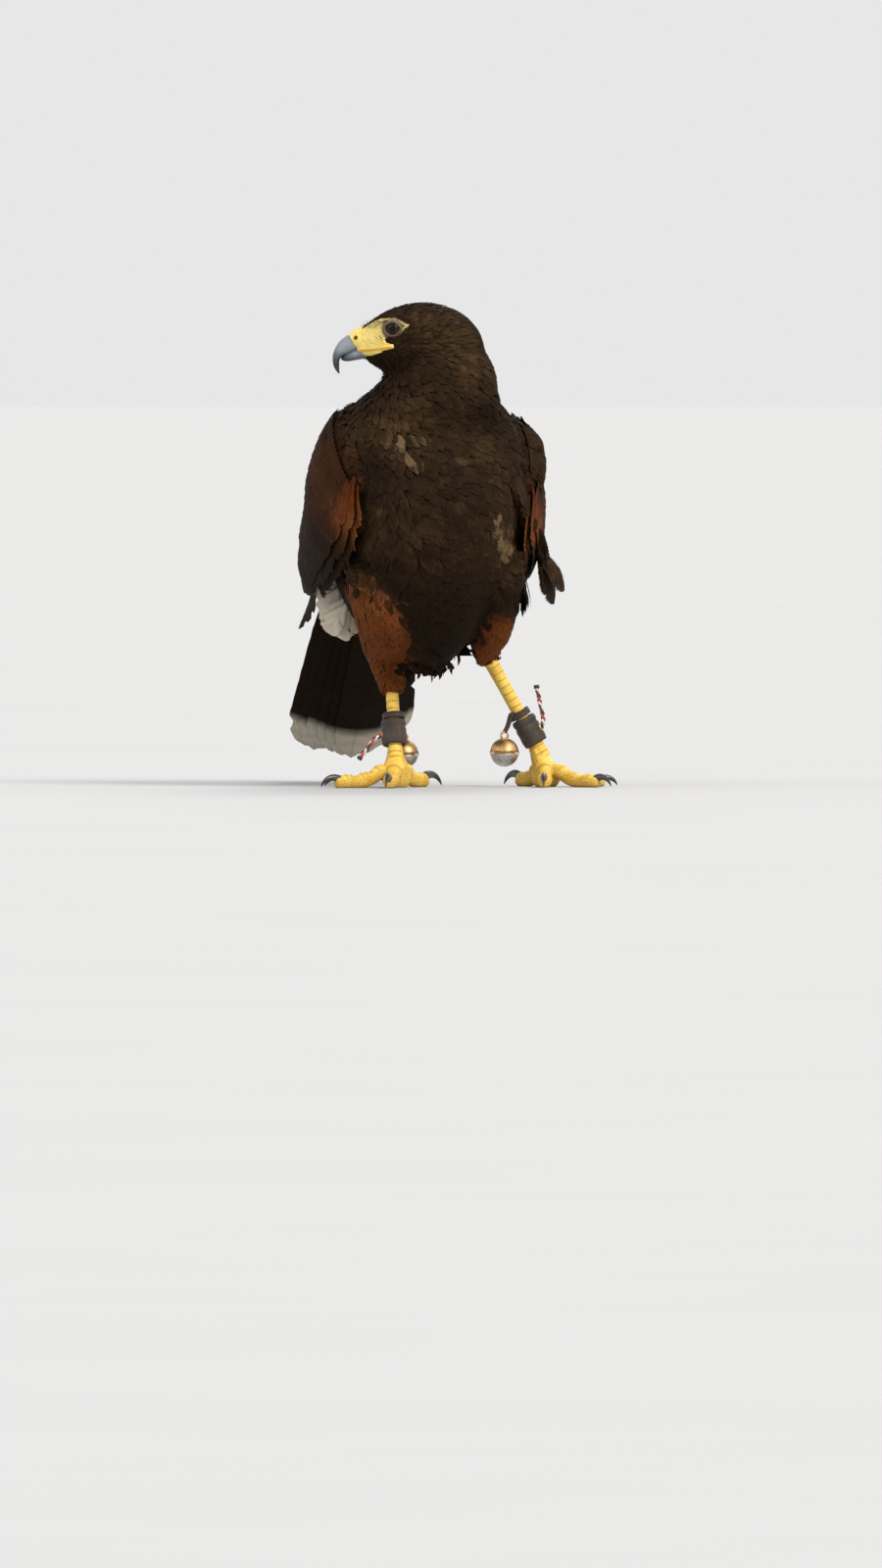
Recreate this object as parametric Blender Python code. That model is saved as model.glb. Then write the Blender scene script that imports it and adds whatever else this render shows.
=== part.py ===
# Harris hawk standing still on both feet, life size, looking over its right shoulder.
# It wears what a trained hawk wears: a leather anklet, a bell and a braided jess on each leg.
# The bird faces -Y, its left side is +X and +Z is up. The floor is at z = 0.
# Sizes and places are in millimetres until a mesh is made; MM turns them into metres.

import math

import bmesh
import bpy
from mathutils import Matrix, Vector
from mathutils.bvhtree import BVHTree

for old in list(bpy.data.objects):
    bpy.data.objects.remove(old)

MM = 0.001
GAP = 0.35                # clearance between two parts that touch
SAME_POINT = 2e-6         # two corners nearer than this, in metres, are one

# The head looks along the photograph's left, so it is turned this far from the breast's heading.
HEAD_YAW = math.radians(-104)
HEAD_FORWARD = Vector((math.sin(HEAD_YAW), -math.cos(HEAD_YAW), 0))
HEAD_LEFT = Vector((0, 0, 1)).cross(HEAD_FORWARD)
HEAD_ORIGIN = Vector((-11.7, -47.0, 0))   # on the axis that the head turns about

# Tail: one straight fan, carried below the horizontal and swung a little to the bird's left.
TAIL_BASE = Vector((0, 80, 163))
TAIL_LENGTH = 214
TAIL_SLOPE = math.radians(43)
TAIL_SWING = math.radians(3.7)
TAIL_TIP_WIDTH = 88

# Legs: knee, hock and the joint over the toes, right (-X) and left (+X).
KNEE = {"right": Vector((-50, -42, 160)), "left": Vector((42, -50, 166))}
HOCK = {"right": Vector((-20, 12, 89)), "left": Vector((46, 2, 92))}
BALL = {"right": Vector((-21, -10, 17)), "left": Vector((87, -4, 17))}

COLOURS = {
    "dark_feather": ((0.030, 0.020, 0.013), 0.75, 0.0),
    "rufous_feather": ((0.165, 0.050, 0.018), 0.75, 0.0),
    "flight_feather": ((0.016, 0.012, 0.010), 0.6, 0.0),
    "white_feather": ((0.42, 0.38, 0.31), 0.8, 0.0),
    "yellow_skin": ((0.75, 0.42, 0.035), 0.5, 0.0),
    "bill_horn": ((0.11, 0.12, 0.12), 0.35, 0.0),
    "claw_horn": ((0.02, 0.018, 0.017), 0.3, 0.0),
    "eye": ((0.045, 0.018, 0.008), 0.08, 0.0),
    "leather": ((0.022, 0.021, 0.018), 0.6, 0.0),
    "brass": ((0.62, 0.40, 0.17), 0.3, 1.0),
    "braid": ((0.33, 0.045, 0.045), 0.7, 0.0),
}


def material(name):
    """The Principled material of that name, made once."""
    found = bpy.data.materials.get(name)
    if found:
        return found
    colour, roughness, metallic = COLOURS[name]
    made = bpy.data.materials.new(name)
    made.use_nodes = True
    shader = made.node_tree.nodes["Principled BSDF"]
    shader.inputs["Base Color"].default_value = (*colour, 1)
    shader.inputs["Roughness"].default_value = roughness
    shader.inputs["Metallic"].default_value = metallic
    return made


def mesh_object(name, points, faces, finish):
    """An object from points in millimetres, with its faces turned outwards."""
    mesh = bpy.data.meshes.new(name)
    mesh.from_pydata([Vector(p) * MM for p in points], [], faces)
    shell = bmesh.new()
    shell.from_mesh(mesh)
    bmesh.ops.recalc_face_normals(shell, faces=shell.faces)
    shell.to_mesh(mesh)
    shell.free()
    mesh.materials.append(material(finish))
    made = bpy.data.objects.new(name, mesh)
    bpy.context.scene.collection.objects.link(made)
    return made


def along(keys, x):
    """Smooth values at x from rows of (x, value, value, ...), by cubic Hermite pieces."""
    last = len(keys) - 1
    i = 0
    while i < last - 1 and x > keys[i + 1][0]:
        i += 1
    before, low, high, after = keys[max(i - 1, 0)], keys[i], keys[i + 1], keys[min(i + 2, last)]
    step = high[0] - low[0]
    f = (x - low[0]) / step
    found = []
    for column in range(1, len(low)):
        slope_low = (high[column] - before[column]) / (high[0] - before[0])
        slope_high = (after[column] - low[column]) / (after[0] - low[0])
        a, b = low[column], high[column]
        found.append(
            a * (1 + 2 * f) * (1 - f) ** 2
            + slope_low * step * f * (1 - f) ** 2
            + b * f * f * (3 - 2 * f)
            + slope_high * step * f * f * (f - 1)
        )
    return found


def steps(low, high, count):
    """count values from low to high, both included."""
    return [low + (high - low) * i / (count - 1) for i in range(count)]


def ellipse(centre, across, up, sides, power=2.0, egg=0.0):
    """A ring of points. power over 2 makes it squarer, and egg widens it towards up."""
    ring = []
    for i in range(sides):
        angle = 2 * math.pi * i / sides
        c, s = math.cos(angle), math.sin(angle)
        c = math.copysign(abs(c) ** (2 / power), c)
        s = math.copysign(abs(s) ** (2 / power), s)
        ring.append(centre + across * c * (1 + egg * s) + up * s)
    return ring


def loft(name, rings, finish):
    """A closed skin through rings of equal count, each end closed by a fan."""
    sides = len(rings[0])
    points = [p for ring in rings for p in ring]
    faces = []
    for k in range(len(rings) - 1):
        for i in range(sides):
            j = (i + 1) % sides
            a, b = k * sides + i, k * sides + j
            c, d = b + sides, a + sides
            faces += [(a, b, c), (a, c, d)]
    for first, ring in ((0, rings[0]), ((len(rings) - 1) * sides, rings[-1])):
        points.append(sum(ring, Vector()) / sides)
        hub = len(points) - 1
        faces += [(first + i, first + (i + 1) % sides, hub) for i in range(sides)]
    made = mesh_object(name, points, faces, finish)
    made.data.shade_smooth()
    return made


def ring_skin(name, rings, finish):
    """A closed skin through rings whose last joins its first, like a tyre."""
    sides = len(rings[0])
    points = [p for ring in rings for p in ring]
    faces = []
    for k in range(len(rings)):
        ahead = (k + 1) % len(rings)
        for i in range(sides):
            j = (i + 1) % sides
            a, b, c, d = k * sides + i, k * sides + j, ahead * sides + j, ahead * sides + i
            faces += [(a, b, c), (a, c, d)]
    made = mesh_object(name, points, faces, finish)
    made.data.shade_smooth()
    return made


def tube(name, path, radii, sides, finish, squash=1.0, up=Vector((0, 0, 1))):
    """A round piece along a path of points; squash makes it flatter along up."""
    rings = []
    for i, (point, radius) in enumerate(zip(path, radii)):
        ahead = path[min(i + 1, len(path) - 1)] - path[max(i - 1, 0)]
        across = ahead.cross(up).normalized()
        over = across.cross(ahead).normalized()
        rings.append(ellipse(point, across * radius, over * radius * squash, sides))
    return loft(name, rings, finish)


def apply_modifiers(thing):
    graph = bpy.context.evaluated_depsgraph_get()
    mesh = bpy.data.meshes.new_from_object(thing.evaluated_get(graph))
    thing.modifiers.clear()
    thing.data = mesh


def keep_largest(thing):
    """Drops loose scraps and sealed hollows: only the largest closed surface stays."""
    shell = bmesh.new()
    shell.from_mesh(thing.data)
    bmesh.ops.remove_doubles(shell, verts=shell.verts, dist=SAME_POINT)
    left, islands = set(shell.faces), []
    while left:
        island, edge = set(), [left.pop()]
        while edge:
            face = edge.pop()
            island.add(face)
            for side in face.edges:
                for other in side.link_faces:
                    if other in left:
                        left.remove(other)
                        edge.append(other)
        islands.append(island)
    islands.sort(key=lambda faces: sum(f.calc_area() for f in faces))
    scraps = [f for island in islands[:-1] for f in island]
    bmesh.ops.delete(shell, geom=scraps, context="FACES")
    bmesh.ops.delete(shell, geom=[v for v in shell.verts if not v.link_faces], context="VERTS")
    shell.to_mesh(thing.data)
    shell.free()


def cut(thing, *tools):
    """Takes the tools' volume away from thing, and the tools with it."""
    for tool in tools:
        knife = thing.modifiers.new("cut", "BOOLEAN")
        knife.operation = "DIFFERENCE"
        knife.object = tool
        knife.solver = "EXACT"
        apply_modifiers(thing)
        bpy.data.objects.remove(tool)
    keep_largest(thing)


def fuse(name, pieces):
    """One closed body from overlapping closed pieces; the first gives the material."""
    body, others = pieces[0], pieces[1:]
    body.name = name
    if others:
        group = bpy.data.collections.new(name + "_pieces")
        bpy.context.scene.collection.children.link(group)
        for piece in others:
            bpy.context.scene.collection.objects.unlink(piece)
            group.objects.link(piece)
        join = body.modifiers.new("join", "BOOLEAN")
        join.operation = "UNION"
        join.operand_type = "COLLECTION"
        join.collection = group
        join.solver = "EXACT"
        apply_modifiers(body)
        for piece in others:
            bpy.data.objects.remove(piece)
        bpy.data.collections.remove(group)
    keep_largest(body)
    return body


def slab(low, high):
    """A block between two corners, to cut with."""
    ranges = list(zip(low, high))
    corners = [Vector((x, y, z)) for x in ranges[0] for y in ranges[1] for z in ranges[2]]
    faces = [(0, 1, 3, 2), (4, 6, 7, 5), (0, 4, 5, 1), (2, 3, 7, 6), (0, 2, 6, 4), (1, 5, 7, 3)]
    return mesh_object("slab", corners, faces, "leather")


# Vanes: every large feather is a thin blade laid on a curved sheet.

VANE_THICKNESS = 0.75
VANE_EDGE = 0.55


def vane_width(x, root=0.34, widest=0.62, tip=0.30):
    """Share of a feather's full width at x, from its root at 0 to its tip at 1."""
    if x < widest:
        return root + (1 - root) * math.sin(0.5 * math.pi * x / widest)
    fall = (x - widest) / (1 - widest)
    return 1 - (1 - tip) * fall ** 2.6


def blade(name, rows, finish, thickness=VANE_THICKNESS):
    """A closed vane from rows of (left edge, shaft, right edge, normal), split alike on both faces."""
    points, faces = [], []
    for left, shaft, right, normal in rows:
        for point, half in ((left, VANE_EDGE / 2), (shaft, thickness / 2), (right, VANE_EDGE / 2)):
            points += [point + normal * half, point - normal * half]
    for k in range(len(rows) - 1):
        for j in (0, 2):
            a, b = 6 * k + j, 6 * k + j + 2
            c, d = b + 6, a + 6
            faces += [(a, b, c), (a, c, d), (a + 1, c + 1, b + 1), (a + 1, d + 1, c + 1)]
        for j in (0, 4):
            a, d = 6 * k + j, 6 * k + j + 6
            faces += [(a, d, d + 1), (a, d + 1, a + 1)]
    for k in (0, len(rows) - 1):
        a = 6 * k
        faces += [(a, a + 1, a + 3), (a, a + 3, a + 2), (a + 2, a + 3, a + 5), (a + 2, a + 5, a + 4)]
    return mesh_object(name, points, faces, finish)


def straight_vane(name, root, tip, normal, width, finish, bow=0.0, rows=5, shape=vane_width):
    """A vane from root to tip, bowed away from the straight line along its normal."""
    run = tip - root
    across = normal.cross(run).normalized()
    over = run.cross(across).normalized()
    made = []
    for x in steps(0, 1, rows):
        shaft = root + run * x + over * bow * 4 * x * (1 - x)
        half = across * width * 0.5 * shape(x)
        made.append((shaft - half, shaft, shaft + half, over))
    return blade(name, made, finish)


# Torso: sections named by a point on the back, a point on the belly and a half width.

TORSO_KEYS = (
    # share of length, back y, back z, belly y, belly z, half width, back over belly width, lean
    (0.00, 94, 170, 82, 150, 20, 0.00, 0),
    (0.10, 85, 190, 58, 118, 40, 0.10, 0),
    (0.26, 60, 222, 20, 82, 56, 0.30, 0),
    (0.44, 30, 248, -34, 88, 63, 0.34, -1),
    (0.62, 5, 266, -74, 128, 65, 0.24, -2),
    (0.78, -12, 275, -94, 178, 64, 0.10, -4),
    (0.90, -18, 280, -95, 216, 59, 0.02, -6),
    (1.00, -21, 281, -86, 243, 52, 0.00, -7),
)
TORSO_SIDES = 24
TORSO_RINGS = 14


def torso_skin(name):
    rings = []
    for u in steps(0, 1, TORSO_RINGS):
        back_y, back_z, belly_y, belly_z, half, egg, lean = along(TORSO_KEYS, u)
        back, belly = Vector((lean, back_y, back_z)), Vector((lean, belly_y, belly_z))
        across = Vector((half, 0, 0))
        rings.append(ellipse((back + belly) / 2, across, (back - belly) / 2, TORSO_SIDES, 2.15, egg))
    return loft(name, rings, "dark_feather")


def torso_room():
    return swell_mesh(torso_skin("torso_room"), GAP)


# Neck: level rings in the head's own directions, from inside the torso up into the head.

NECK_KEYS = (
    # z, middle along the head's forward, half length, middle y offset, half depth
    (236, -1.0, 46.0, 0, 33.0),
    (252, -1.0, 51.0, 0, 37.0),
    (262, -2.5, 49.5, 0, 38.5),
    (272, -6.0, 42.5, 0, 36.0),
    (282, -9.5, 37.5, 0, 32.0),
    (292, -10.0, 33.5, 0, 29.0),
    (300, -8.0, 29.0, 0, 25.0),
)
NECK_SIDES = 18
NECK_RINGS = 8


def in_head(f, l, z):
    """A point in the head's directions: forward, left and height."""
    return HEAD_ORIGIN + HEAD_FORWARD * f + HEAD_LEFT * l + Vector((0, 0, z))


def neck_skin(name):
    rings = []
    for z in steps(NECK_KEYS[0][0], NECK_KEYS[-1][0], NECK_RINGS):
        middle, long_half, back, deep_half = along(NECK_KEYS, z)
        centre = in_head(middle, 0, z) + Vector((0, back, 0))
        rings.append(ellipse(centre, HEAD_FORWARD * long_half, HEAD_LEFT * deep_half, NECK_SIDES, 2.1))
    return loft(name, rings, "dark_feather")


# Head: upright rings along its forward direction.

HEAD_KEYS = (
    # forward, top, bottom, half width
    (-40.0, 304, 296, 6),
    (-36.0, 313.5, 286, 15),
    (-26.0, 324.5, 277, 23.5),
    (-11.0, 331.6, 274, 27.5),
    (4.0, 333.0, 276, 28.5),
    (17.0, 331.0, 280.5, 26.5),
    (26.0, 327.5, 285, 22.5),
    (33.0, 323.2, 289, 17),
    (39.0, 318.4, 292.5, 12.4),
    (43.0, 315.2, 294.6, 10),
)
HEAD_STATIONS = (-40, -37.5, -33, -26, -17, -7, 3, 12, 19, 26, 32, 37.5, 43)
HEAD_SIDES = 20
EYE_FORWARD, EYE_HEIGHT = 20.6, 315.0
NOSTRIL = (46.6, 9.3, 308.2)
NOSTRIL_RADIUS = 1.3
EYE_RADIUS = 7.3
EYE_SIDE = 16.4           # the eyeball's middle, from the head's middle plane
LID_POINTS = 12
EYE_TURN = math.radians(14)   # each eye looks this far forward of straight sideways


def head_width_at(f, z):
    """Half width of the head's skin at that place."""
    top, bottom, half = along(HEAD_KEYS, f)
    share = (z - (top + bottom) / 2) / ((top - bottom) / 2)
    return half * (1 - min(abs(share), 1) ** 2.1) ** (1 / 2.1)


def head_skin(name):
    rings = []
    for f in HEAD_STATIONS:
        top, bottom, half = along(HEAD_KEYS, f)
        centre = in_head(f, 0, (top + bottom) / 2)
        rings.append(ellipse(centre, HEAD_LEFT * half, Vector((0, 0, (top - bottom) / 2)), HEAD_SIDES, 2.1))
    return loft(name, rings, "dark_feather")


def eye_middle(side):
    return in_head(EYE_FORWARD, side * EYE_SIDE, EYE_HEIGHT)


def eye_direction(side):
    return (HEAD_LEFT * side * math.cos(EYE_TURN) + HEAD_FORWARD * math.sin(EYE_TURN)).normalized()


def ball(name, centre, radius, finish, rings=7, sides=14, axis=Vector((0, 0, 1)), stretch=1.0):
    """A ball with its poles on axis, stretched along it."""
    across = axis.orthogonal().normalized()
    other = axis.cross(across).normalized()
    made = []
    for k in range(1, rings + 1):
        angle = math.pi * k / (rings + 1)
        middle = centre + axis * math.cos(angle) * radius * stretch
        reach = math.sin(angle) * radius
        made.append(ellipse(middle, across * reach, other * reach, sides))
    return loft(name, made, finish)


def eyelids(side):
    """A fleshy rim round the opening, heavier over the eye, where the brow shades it."""
    look = eye_direction(side)
    across = Vector((0, 0, 1)).cross(look).normalized()
    over = look.cross(across).normalized()
    rings = []
    for i in range(LID_POINTS):
        angle = 2 * math.pi * i / LID_POINTS
        outwards = across * math.cos(angle) + over * math.sin(angle)
        reach = 5.9 if math.sin(angle) < 0.4 else 5.5
        middle = eye_middle(side) + look * 6.5 + outwards * reach
        rings.append(ellipse(middle, outwards * 1.25, look * 1.35, 5))
    return ring_skin("lids", rings, "yellow_skin")


BROW_KEYS = (
    # forward, height, how far out of the head's side, radius
    (33, 317.4, -0.6, 1.3),
    (28, 319.6, 0.3, 2.1),
    (22, 321.6, 0.7, 2.5),
    (16, 322.4, 0.2, 2.3),
    (10, 321.8, -0.8, 1.2),
)
GAPE_KEYS = (
    # forward, height, radius
    (41.2, 299.2, 1.2),
    (36, 299.7, 1.4),
    (30, 300.6, 1.4),
    (25, 301.3, 1.2),
    (21, 301.9, 0.7),
)


def brow(side):
    """The bony shield over the eye."""
    path, radii = [], []
    for f, z, out, radius in BROW_KEYS:
        path.append(in_head(f, side * (head_width_at(f, z) + out), z))
        radii.append(radius)
    return tube("brow", path, radii, 6, "dark_feather", squash=0.7)


def gape(side):
    """The soft yellow edge of the mouth, back to under the eye."""
    path, radii = [], []
    for f, z, radius in GAPE_KEYS:
        path.append(in_head(f, side * (head_width_at(f, z) - 0.2), z))
        radii.append(radius)
    return tube("gape", path, radii, 6, "yellow_skin")


def profile_skin(name, sections, finish, sides=14, power=2.0):
    """A skin through sections in the head's plane: outer f and z, inner f and z, half width."""
    rings = []
    for outer_f, outer_z, inner_f, inner_z, half in sections:
        outer, inner = in_head(outer_f, 0, outer_z), in_head(inner_f, 0, inner_z)
        rings.append(ellipse((outer + inner) / 2, HEAD_LEFT * half, (outer - inner) / 2, sides, power))
    return loft(name, rings, finish)


CERE_SECTIONS = (
    (43.35, 315.4, 43.35, 300.0, 9.8),
    (46.0, 314.2, 43.6, 299.8, 9.4),
    (48.6, 312.6, 44.0, 299.6, 8.7),
    (50.6, 310.8, 44.6, 299.6, 7.9),
)
UPPER_BILL_KEYS = (
    # share of length, culmen f, culmen z, inner f, inner z, half width
    (0.00, 51.1, 310.2, 45.0, 299.2, 7.5),
    (0.20, 55.5, 307.3, 48.6, 297.6, 7.0),
    (0.38, 58.8, 303.4, 52.2, 296.4, 6.2),
    (0.55, 61.0, 299.2, 55.0, 295.3, 5.1),
    (0.70, 62.0, 294.4, 56.6, 293.0, 3.8),
    (0.86, 61.3, 289.0, 56.2, 289.0, 2.4),
    (1.00, 57.2, 283.5, 56.4, 284.6, 0.5),
)
LOWER_BILL_KEYS = (
    # share of length, upper f, upper z, lower f, lower z, half width
    (0.0, 43.4, 299.6, 43.4, 293.9, 7.7),
    (0.35, 47.6, 298.2, 47.9, 292.7, 6.7),
    (0.65, 51.4, 297.0, 51.8, 292.0, 5.3),
    (1.0, 55.6, 294.4, 55.4, 292.4, 2.2),
)


def cere_skin(name):
    return profile_skin(name, CERE_SECTIONS, "yellow_skin", 14, 2.2)


def upper_bill_skin(name):
    return profile_skin(name, [along(UPPER_BILL_KEYS, u) for u in steps(0, 1, 9)], "bill_horn", 12)


def eye_opening(side):
    """The hole between the lids, from the eyeball outwards."""
    look = eye_direction(side)
    across = look.orthogonal().normalized()
    over = look.cross(across).normalized()
    rings = []
    for forth, radius in ((2.0, 4.4), (6.0, 4.8), (14.0, 6.4)):
        rings.append(ellipse(eye_middle(side) + look * forth, across * radius, over * radius, 15))
    return loft("opening", rings, "eye")


def build_head():
    eyes = {"left": 1, "right": -1}
    parts = [head_skin("head")] + [make(side) for side in eyes.values() for make in (brow, gape, eyelids)]
    head = fuse("head", parts)
    for name, side in eyes.items():
        look = eye_direction(side)
        socket = ball("socket", eye_middle(side), EYE_RADIUS + 1.6 * GAP, "eye", 5, 11, look)
        cut(head, socket, eye_opening(side))
        ball("eye_" + name, eye_middle(side), EYE_RADIUS, "eye", 6, 11, look)
    cere = cere_skin("cere")
    for side in eyes.values():
        centre = in_head(NOSTRIL[0], side * NOSTRIL[1], NOSTRIL[2])
        cut(cere, ball("nostril", centre, NOSTRIL_RADIUS, "eye", 5, 8, HEAD_FORWARD, 1.5))
    upper_bill_skin("beak_upper")
    lower = profile_skin("beak_lower", [along(LOWER_BILL_KEYS, u) for u in steps(0, 1, 6)], "bill_horn", 10)
    cut(lower, swell_mesh(upper_bill_skin("mouth"), GAP), swell_mesh(cere_skin("mouth"), GAP))


# Wings: each folded wing is a sheet laid over the flank, from the wrist to the wing tip.
# Its tiers lie on that sheet at rising offsets: primaries, secondaries, then the coverts.

WING_KEYS = (
    # share of length from wrist to tip, lower edge, middle and upper edge, each x y z
    (0.00, 56, -74, 210, 62, -64, 236, 46, -40, 258),
    (0.25, 66, -30, 167, 71, -6, 206, 44, 8, 254),
    (0.50, 64, 42, 143, 61, 54, 176, 24, 64, 214),
    (0.75, 50, 108, 124, 42, 114, 144, 17, 116, 166),
    (1.00, 46, 174, 103, 38, 176, 111, 27, 177, 121),
)
SIDES = {"right": -1, "left": 1}
# The bird leans a little on its right leg, so its left wing lies closer and further back.
WING_SHIFT = {-1: Vector((0, 0, 0)), 1: Vector((-4, 5, -7))}
WING_SPREAD = {-1: 0.0, 1: 5.0}   # how far the wing's middle stands out sideways


def wing_point(side, s, t):
    """A point of the wing's sheet, t from 0 at its lower edge to 1 at its upper edge."""
    v = along(WING_KEYS, s)
    low, middle, high = Vector(v[0:3]), Vector(v[3:6]), Vector(v[6:9])
    found = low * (2 * (t - 0.5) * (t - 1)) + middle * (4 * t * (1 - t)) + high * (2 * t * (t - 0.5))
    found.x += WING_SPREAD[side] * math.sin(math.pi * min(max(s, 0), 1))
    found.x *= side
    return found + WING_SHIFT[side] * (1 - s)


def wing_normal(side, s, t):
    """The sheet's outward direction."""
    e = 0.02
    along_s = wing_point(side, min(s + e, 1), t) - wing_point(side, max(s - e, 0), t)
    along_t = wing_point(side, s, t + e) - wing_point(side, s, t - e)
    return (along_s.cross(along_t) * side).normalized()


class Flank:
    """Keeps what lies on the wing's sheet clear of the body."""

    def __init__(self, *parts):
        self.trees = []
        for part in parts:
            shell = bmesh.new()
            shell.from_mesh(part.data)
            self.trees.append(BVHTree.FromBMesh(shell))
            shell.free()

    def clear(self, point, room):
        for tree in self.trees:
            near, normal, _, _ = tree.find_nearest(point * MM)
            near = near / MM
            height = (point - near).dot(normal)
            if height < room:
                point = near + normal * room
        return point


def on_wing(flank, side, s, t, offset):
    point = flank.clear(wing_point(side, s, t), BODY_ROOM)
    return flank.clear(point + wing_normal(side, s, t) * offset, LEAST_ROOM)


BODY_ROOM = 2.4           # the sheet stays this far off the body
LEAST_ROOM = 1.3          # and so does all that lies on it
ROOF_TILT = 0.13          # each vane's lower edge stands over the next one's upper edge


def wing_vane(flank, side, root, tip, width, offset, stack, finish, rows, thickness=VANE_THICKNESS):
    """A vane laid on the sheet from root (s, t) to tip (s, t), raised by stack at its root and its tip."""
    made = []
    for x in steps(0, 1, rows):
        s = root[0] + (tip[0] - root[0]) * x
        t = root[1] + (tip[1] - root[1]) * x
        e = 0.02
        per_t = (wing_point(side, s, t + e) - wing_point(side, s, t - e)).length / (2 * e)
        half = 0.5 * width * vane_width(x)
        dt = half / per_t
        height = offset + stack[0] * (1 - x) + stack[1] * x
        made.append((
            on_wing(flank, side, s, t - dt, height + ROOF_TILT * half),
            on_wing(flank, side, s, t, height),
            on_wing(flank, side, s, t + dt, height - ROOF_TILT * half),
            wing_normal(side, s, t),
        ))
    return blade("vane", made, finish, thickness)


def wing_pad(flank, side, outline, inner, thickness, finish, name, nodes):
    """A lens-shaped body on the sheet; outline gives the t range, and inner the offset, for each s."""
    points, faces = [], []
    count_s, count_t = nodes
    s_low, s_high, range_of = outline
    for face in (0, 1):
        for i in range(count_s):
            s = s_low + (s_high - s_low) * i / (count_s - 1)
            t_low, t_high = range_of(i / (count_s - 1))
            for j in range(count_t):
                t = t_low + (t_high - t_low) * j / (count_t - 1)
                edge_s = math.sin(math.pi * min(max(i / (count_s - 1), 0.04), 0.96))
                edge_t = math.sin(math.pi * min(max(j / (count_t - 1), 0.05), 0.95))
                rise = thickness * (edge_s * edge_t) ** 0.45
                points.append(on_wing(flank, side, s, t, inner(s) + (rise if face else 0)))
    sheet = count_s * count_t
    for i in range(count_s - 1):
        for j in range(count_t - 1):
            a = i * count_t + j
            b, c, d = a + 1, a + count_t + 1, a + count_t
            faces += [(a, b, c), (a, c, d)]
            faces += [(sheet + a, sheet + c, sheet + b), (sheet + a, sheet + d, sheet + c)]
    rim = [j for j in range(count_t)]
    rim += [i * count_t + count_t - 1 for i in range(1, count_s)]
    rim += [(count_s - 1) * count_t + j for j in range(count_t - 2, -1, -1)]
    rim += [i * count_t for i in range(count_s - 2, 0, -1)]
    for k, a in enumerate(rim):
        b = rim[(k + 1) % len(rim)]
        faces += [(a, sheet + a, sheet + b), (a, sheet + b, b)]
    made = mesh_object(name, points, faces, finish)
    made.data.shade_smooth()
    return made


PRIMARIES = 6
HAND_START = 0.13         # the wrist in front of this is all forearm
ARM_OFFSET = 5.8          # the forearm lies this far off the sheet, over the hand
SECONDARIES = 8
COVERTS = 7


# Two worn feathers of the left wing stand out from its lower edge.
LOOSE_ROOT = (0.30, 0.16)     # place on the wing's sheet
LOOSE_TIPS = {-1: (), 1: ((103, 22, 139), (98, 30, 126))}
LOOSE_WIDTH = 15
LOOSE_FACE = Vector((0.45, -0.85, 0.25))


def arm_offset(s):
    """The forearm comes down to the body in front of the hand."""
    share = min(s / HAND_START, 1)
    return 1 + (ARM_OFFSET - 1) * share * share * (3 - 2 * share)


def build_wing(name, flank):
    side = SIDES[name]

    # The hand with its primaries lies next to the body, under the rest.
    hand = wing_pad(flank, side, (HAND_START, 0.44, lambda x: (0.04, 0.34 - 0.06 * x)), lambda s: 0.0, 4.6,
                    "flight_feather", "hand", (5, 5))
    pieces = [hand]
    for i in range(PRIMARIES):
        share = i / (PRIMARIES - 1)
        root = (0.31 + 0.03 * share, 0.11 + 0.14 * share)
        reach = 1.0 - 0.17 * abs(share - 0.28) ** 1.3 - 0.10 * share
        tip = (reach, 0.10 + 0.50 * share)
        stack = (0.62 * i, 0.40 * i)
        width = 19 - 2 * share
        pieces.append(wing_vane(flank, side, root, tip, width, 1.0, stack, "flight_feather", 5, 0.6))
    fuse("wing_%s_hand" % name, pieces)

    # The forearm carries the secondaries and the coverts over them.
    arm = wing_pad(flank, side, (0.0, 0.44, lambda x: (0.02 + 0.14 * x, 0.98 - 0.06 * x)), arm_offset, 6.0,
                   "rufous_feather", "arm", (8, 7))
    pieces = [arm]
    for i in range(SECONDARIES):
        share = i / (SECONDARIES - 1)
        root = (0.28 + 0.05 * share, 0.16 + 0.70 * share)
        tip = (0.58 + 0.20 * math.sin(0.5 * math.pi * min(share * 1.7, 1)), 0.05 + 0.83 * share)
        stack = (0.10 * i, 0.12 * i)
        width = 22 + 2 * share
        pieces.append(wing_vane(flank, side, root, tip, width, 7.0, stack, "flight_feather", 4))
    for i in range(COVERTS):
        share = i / (COVERTS - 1)
        root = (0.25 + 0.04 * share, 0.16 + 0.70 * share)
        tip = (0.45 + 0.09 * math.sin(math.pi * (0.2 + 0.6 * share)), 0.09 + 0.80 * share)
        stack = (0.10 * i, 0.12 * i)
        pieces.append(wing_vane(flank, side, root, tip, 20, 9.6, stack, "dark_feather", 4))
    for tip in LOOSE_TIPS[side]:
        root = on_wing(flank, side, LOOSE_ROOT[0], LOOSE_ROOT[1], ARM_OFFSET + 2)
        tip = Vector(tip)
        pieces.append(straight_vane("loose", root, tip, LOOSE_FACE, LOOSE_WIDTH, "dark_feather", 1.5, 4))
    fuse("wing_%s_arm" % name, pieces)


# Tail: twelve feathers in a fan, stacked outwards from the middle pair.

TAIL_AXIS = Vector((
    math.sin(TAIL_SWING) * math.cos(TAIL_SLOPE),
    math.cos(TAIL_SWING) * math.cos(TAIL_SLOPE),
    -math.sin(TAIL_SLOPE),
))
TAIL_SIDE = Vector((0, 0, 1)).cross(TAIL_AXIS).normalized() * -1
TAIL_UP = TAIL_SIDE.cross(TAIL_AXIS).normalized() * -1
TAIL_FEATHERS = 12
TAIL_FEATHER_WIDTH = 30
TAIL_STACK = 1.05         # rise from one feather to the next
TAIL_ARCH = 0.0045        # how far the fan's sides droop, per square millimetre


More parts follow.
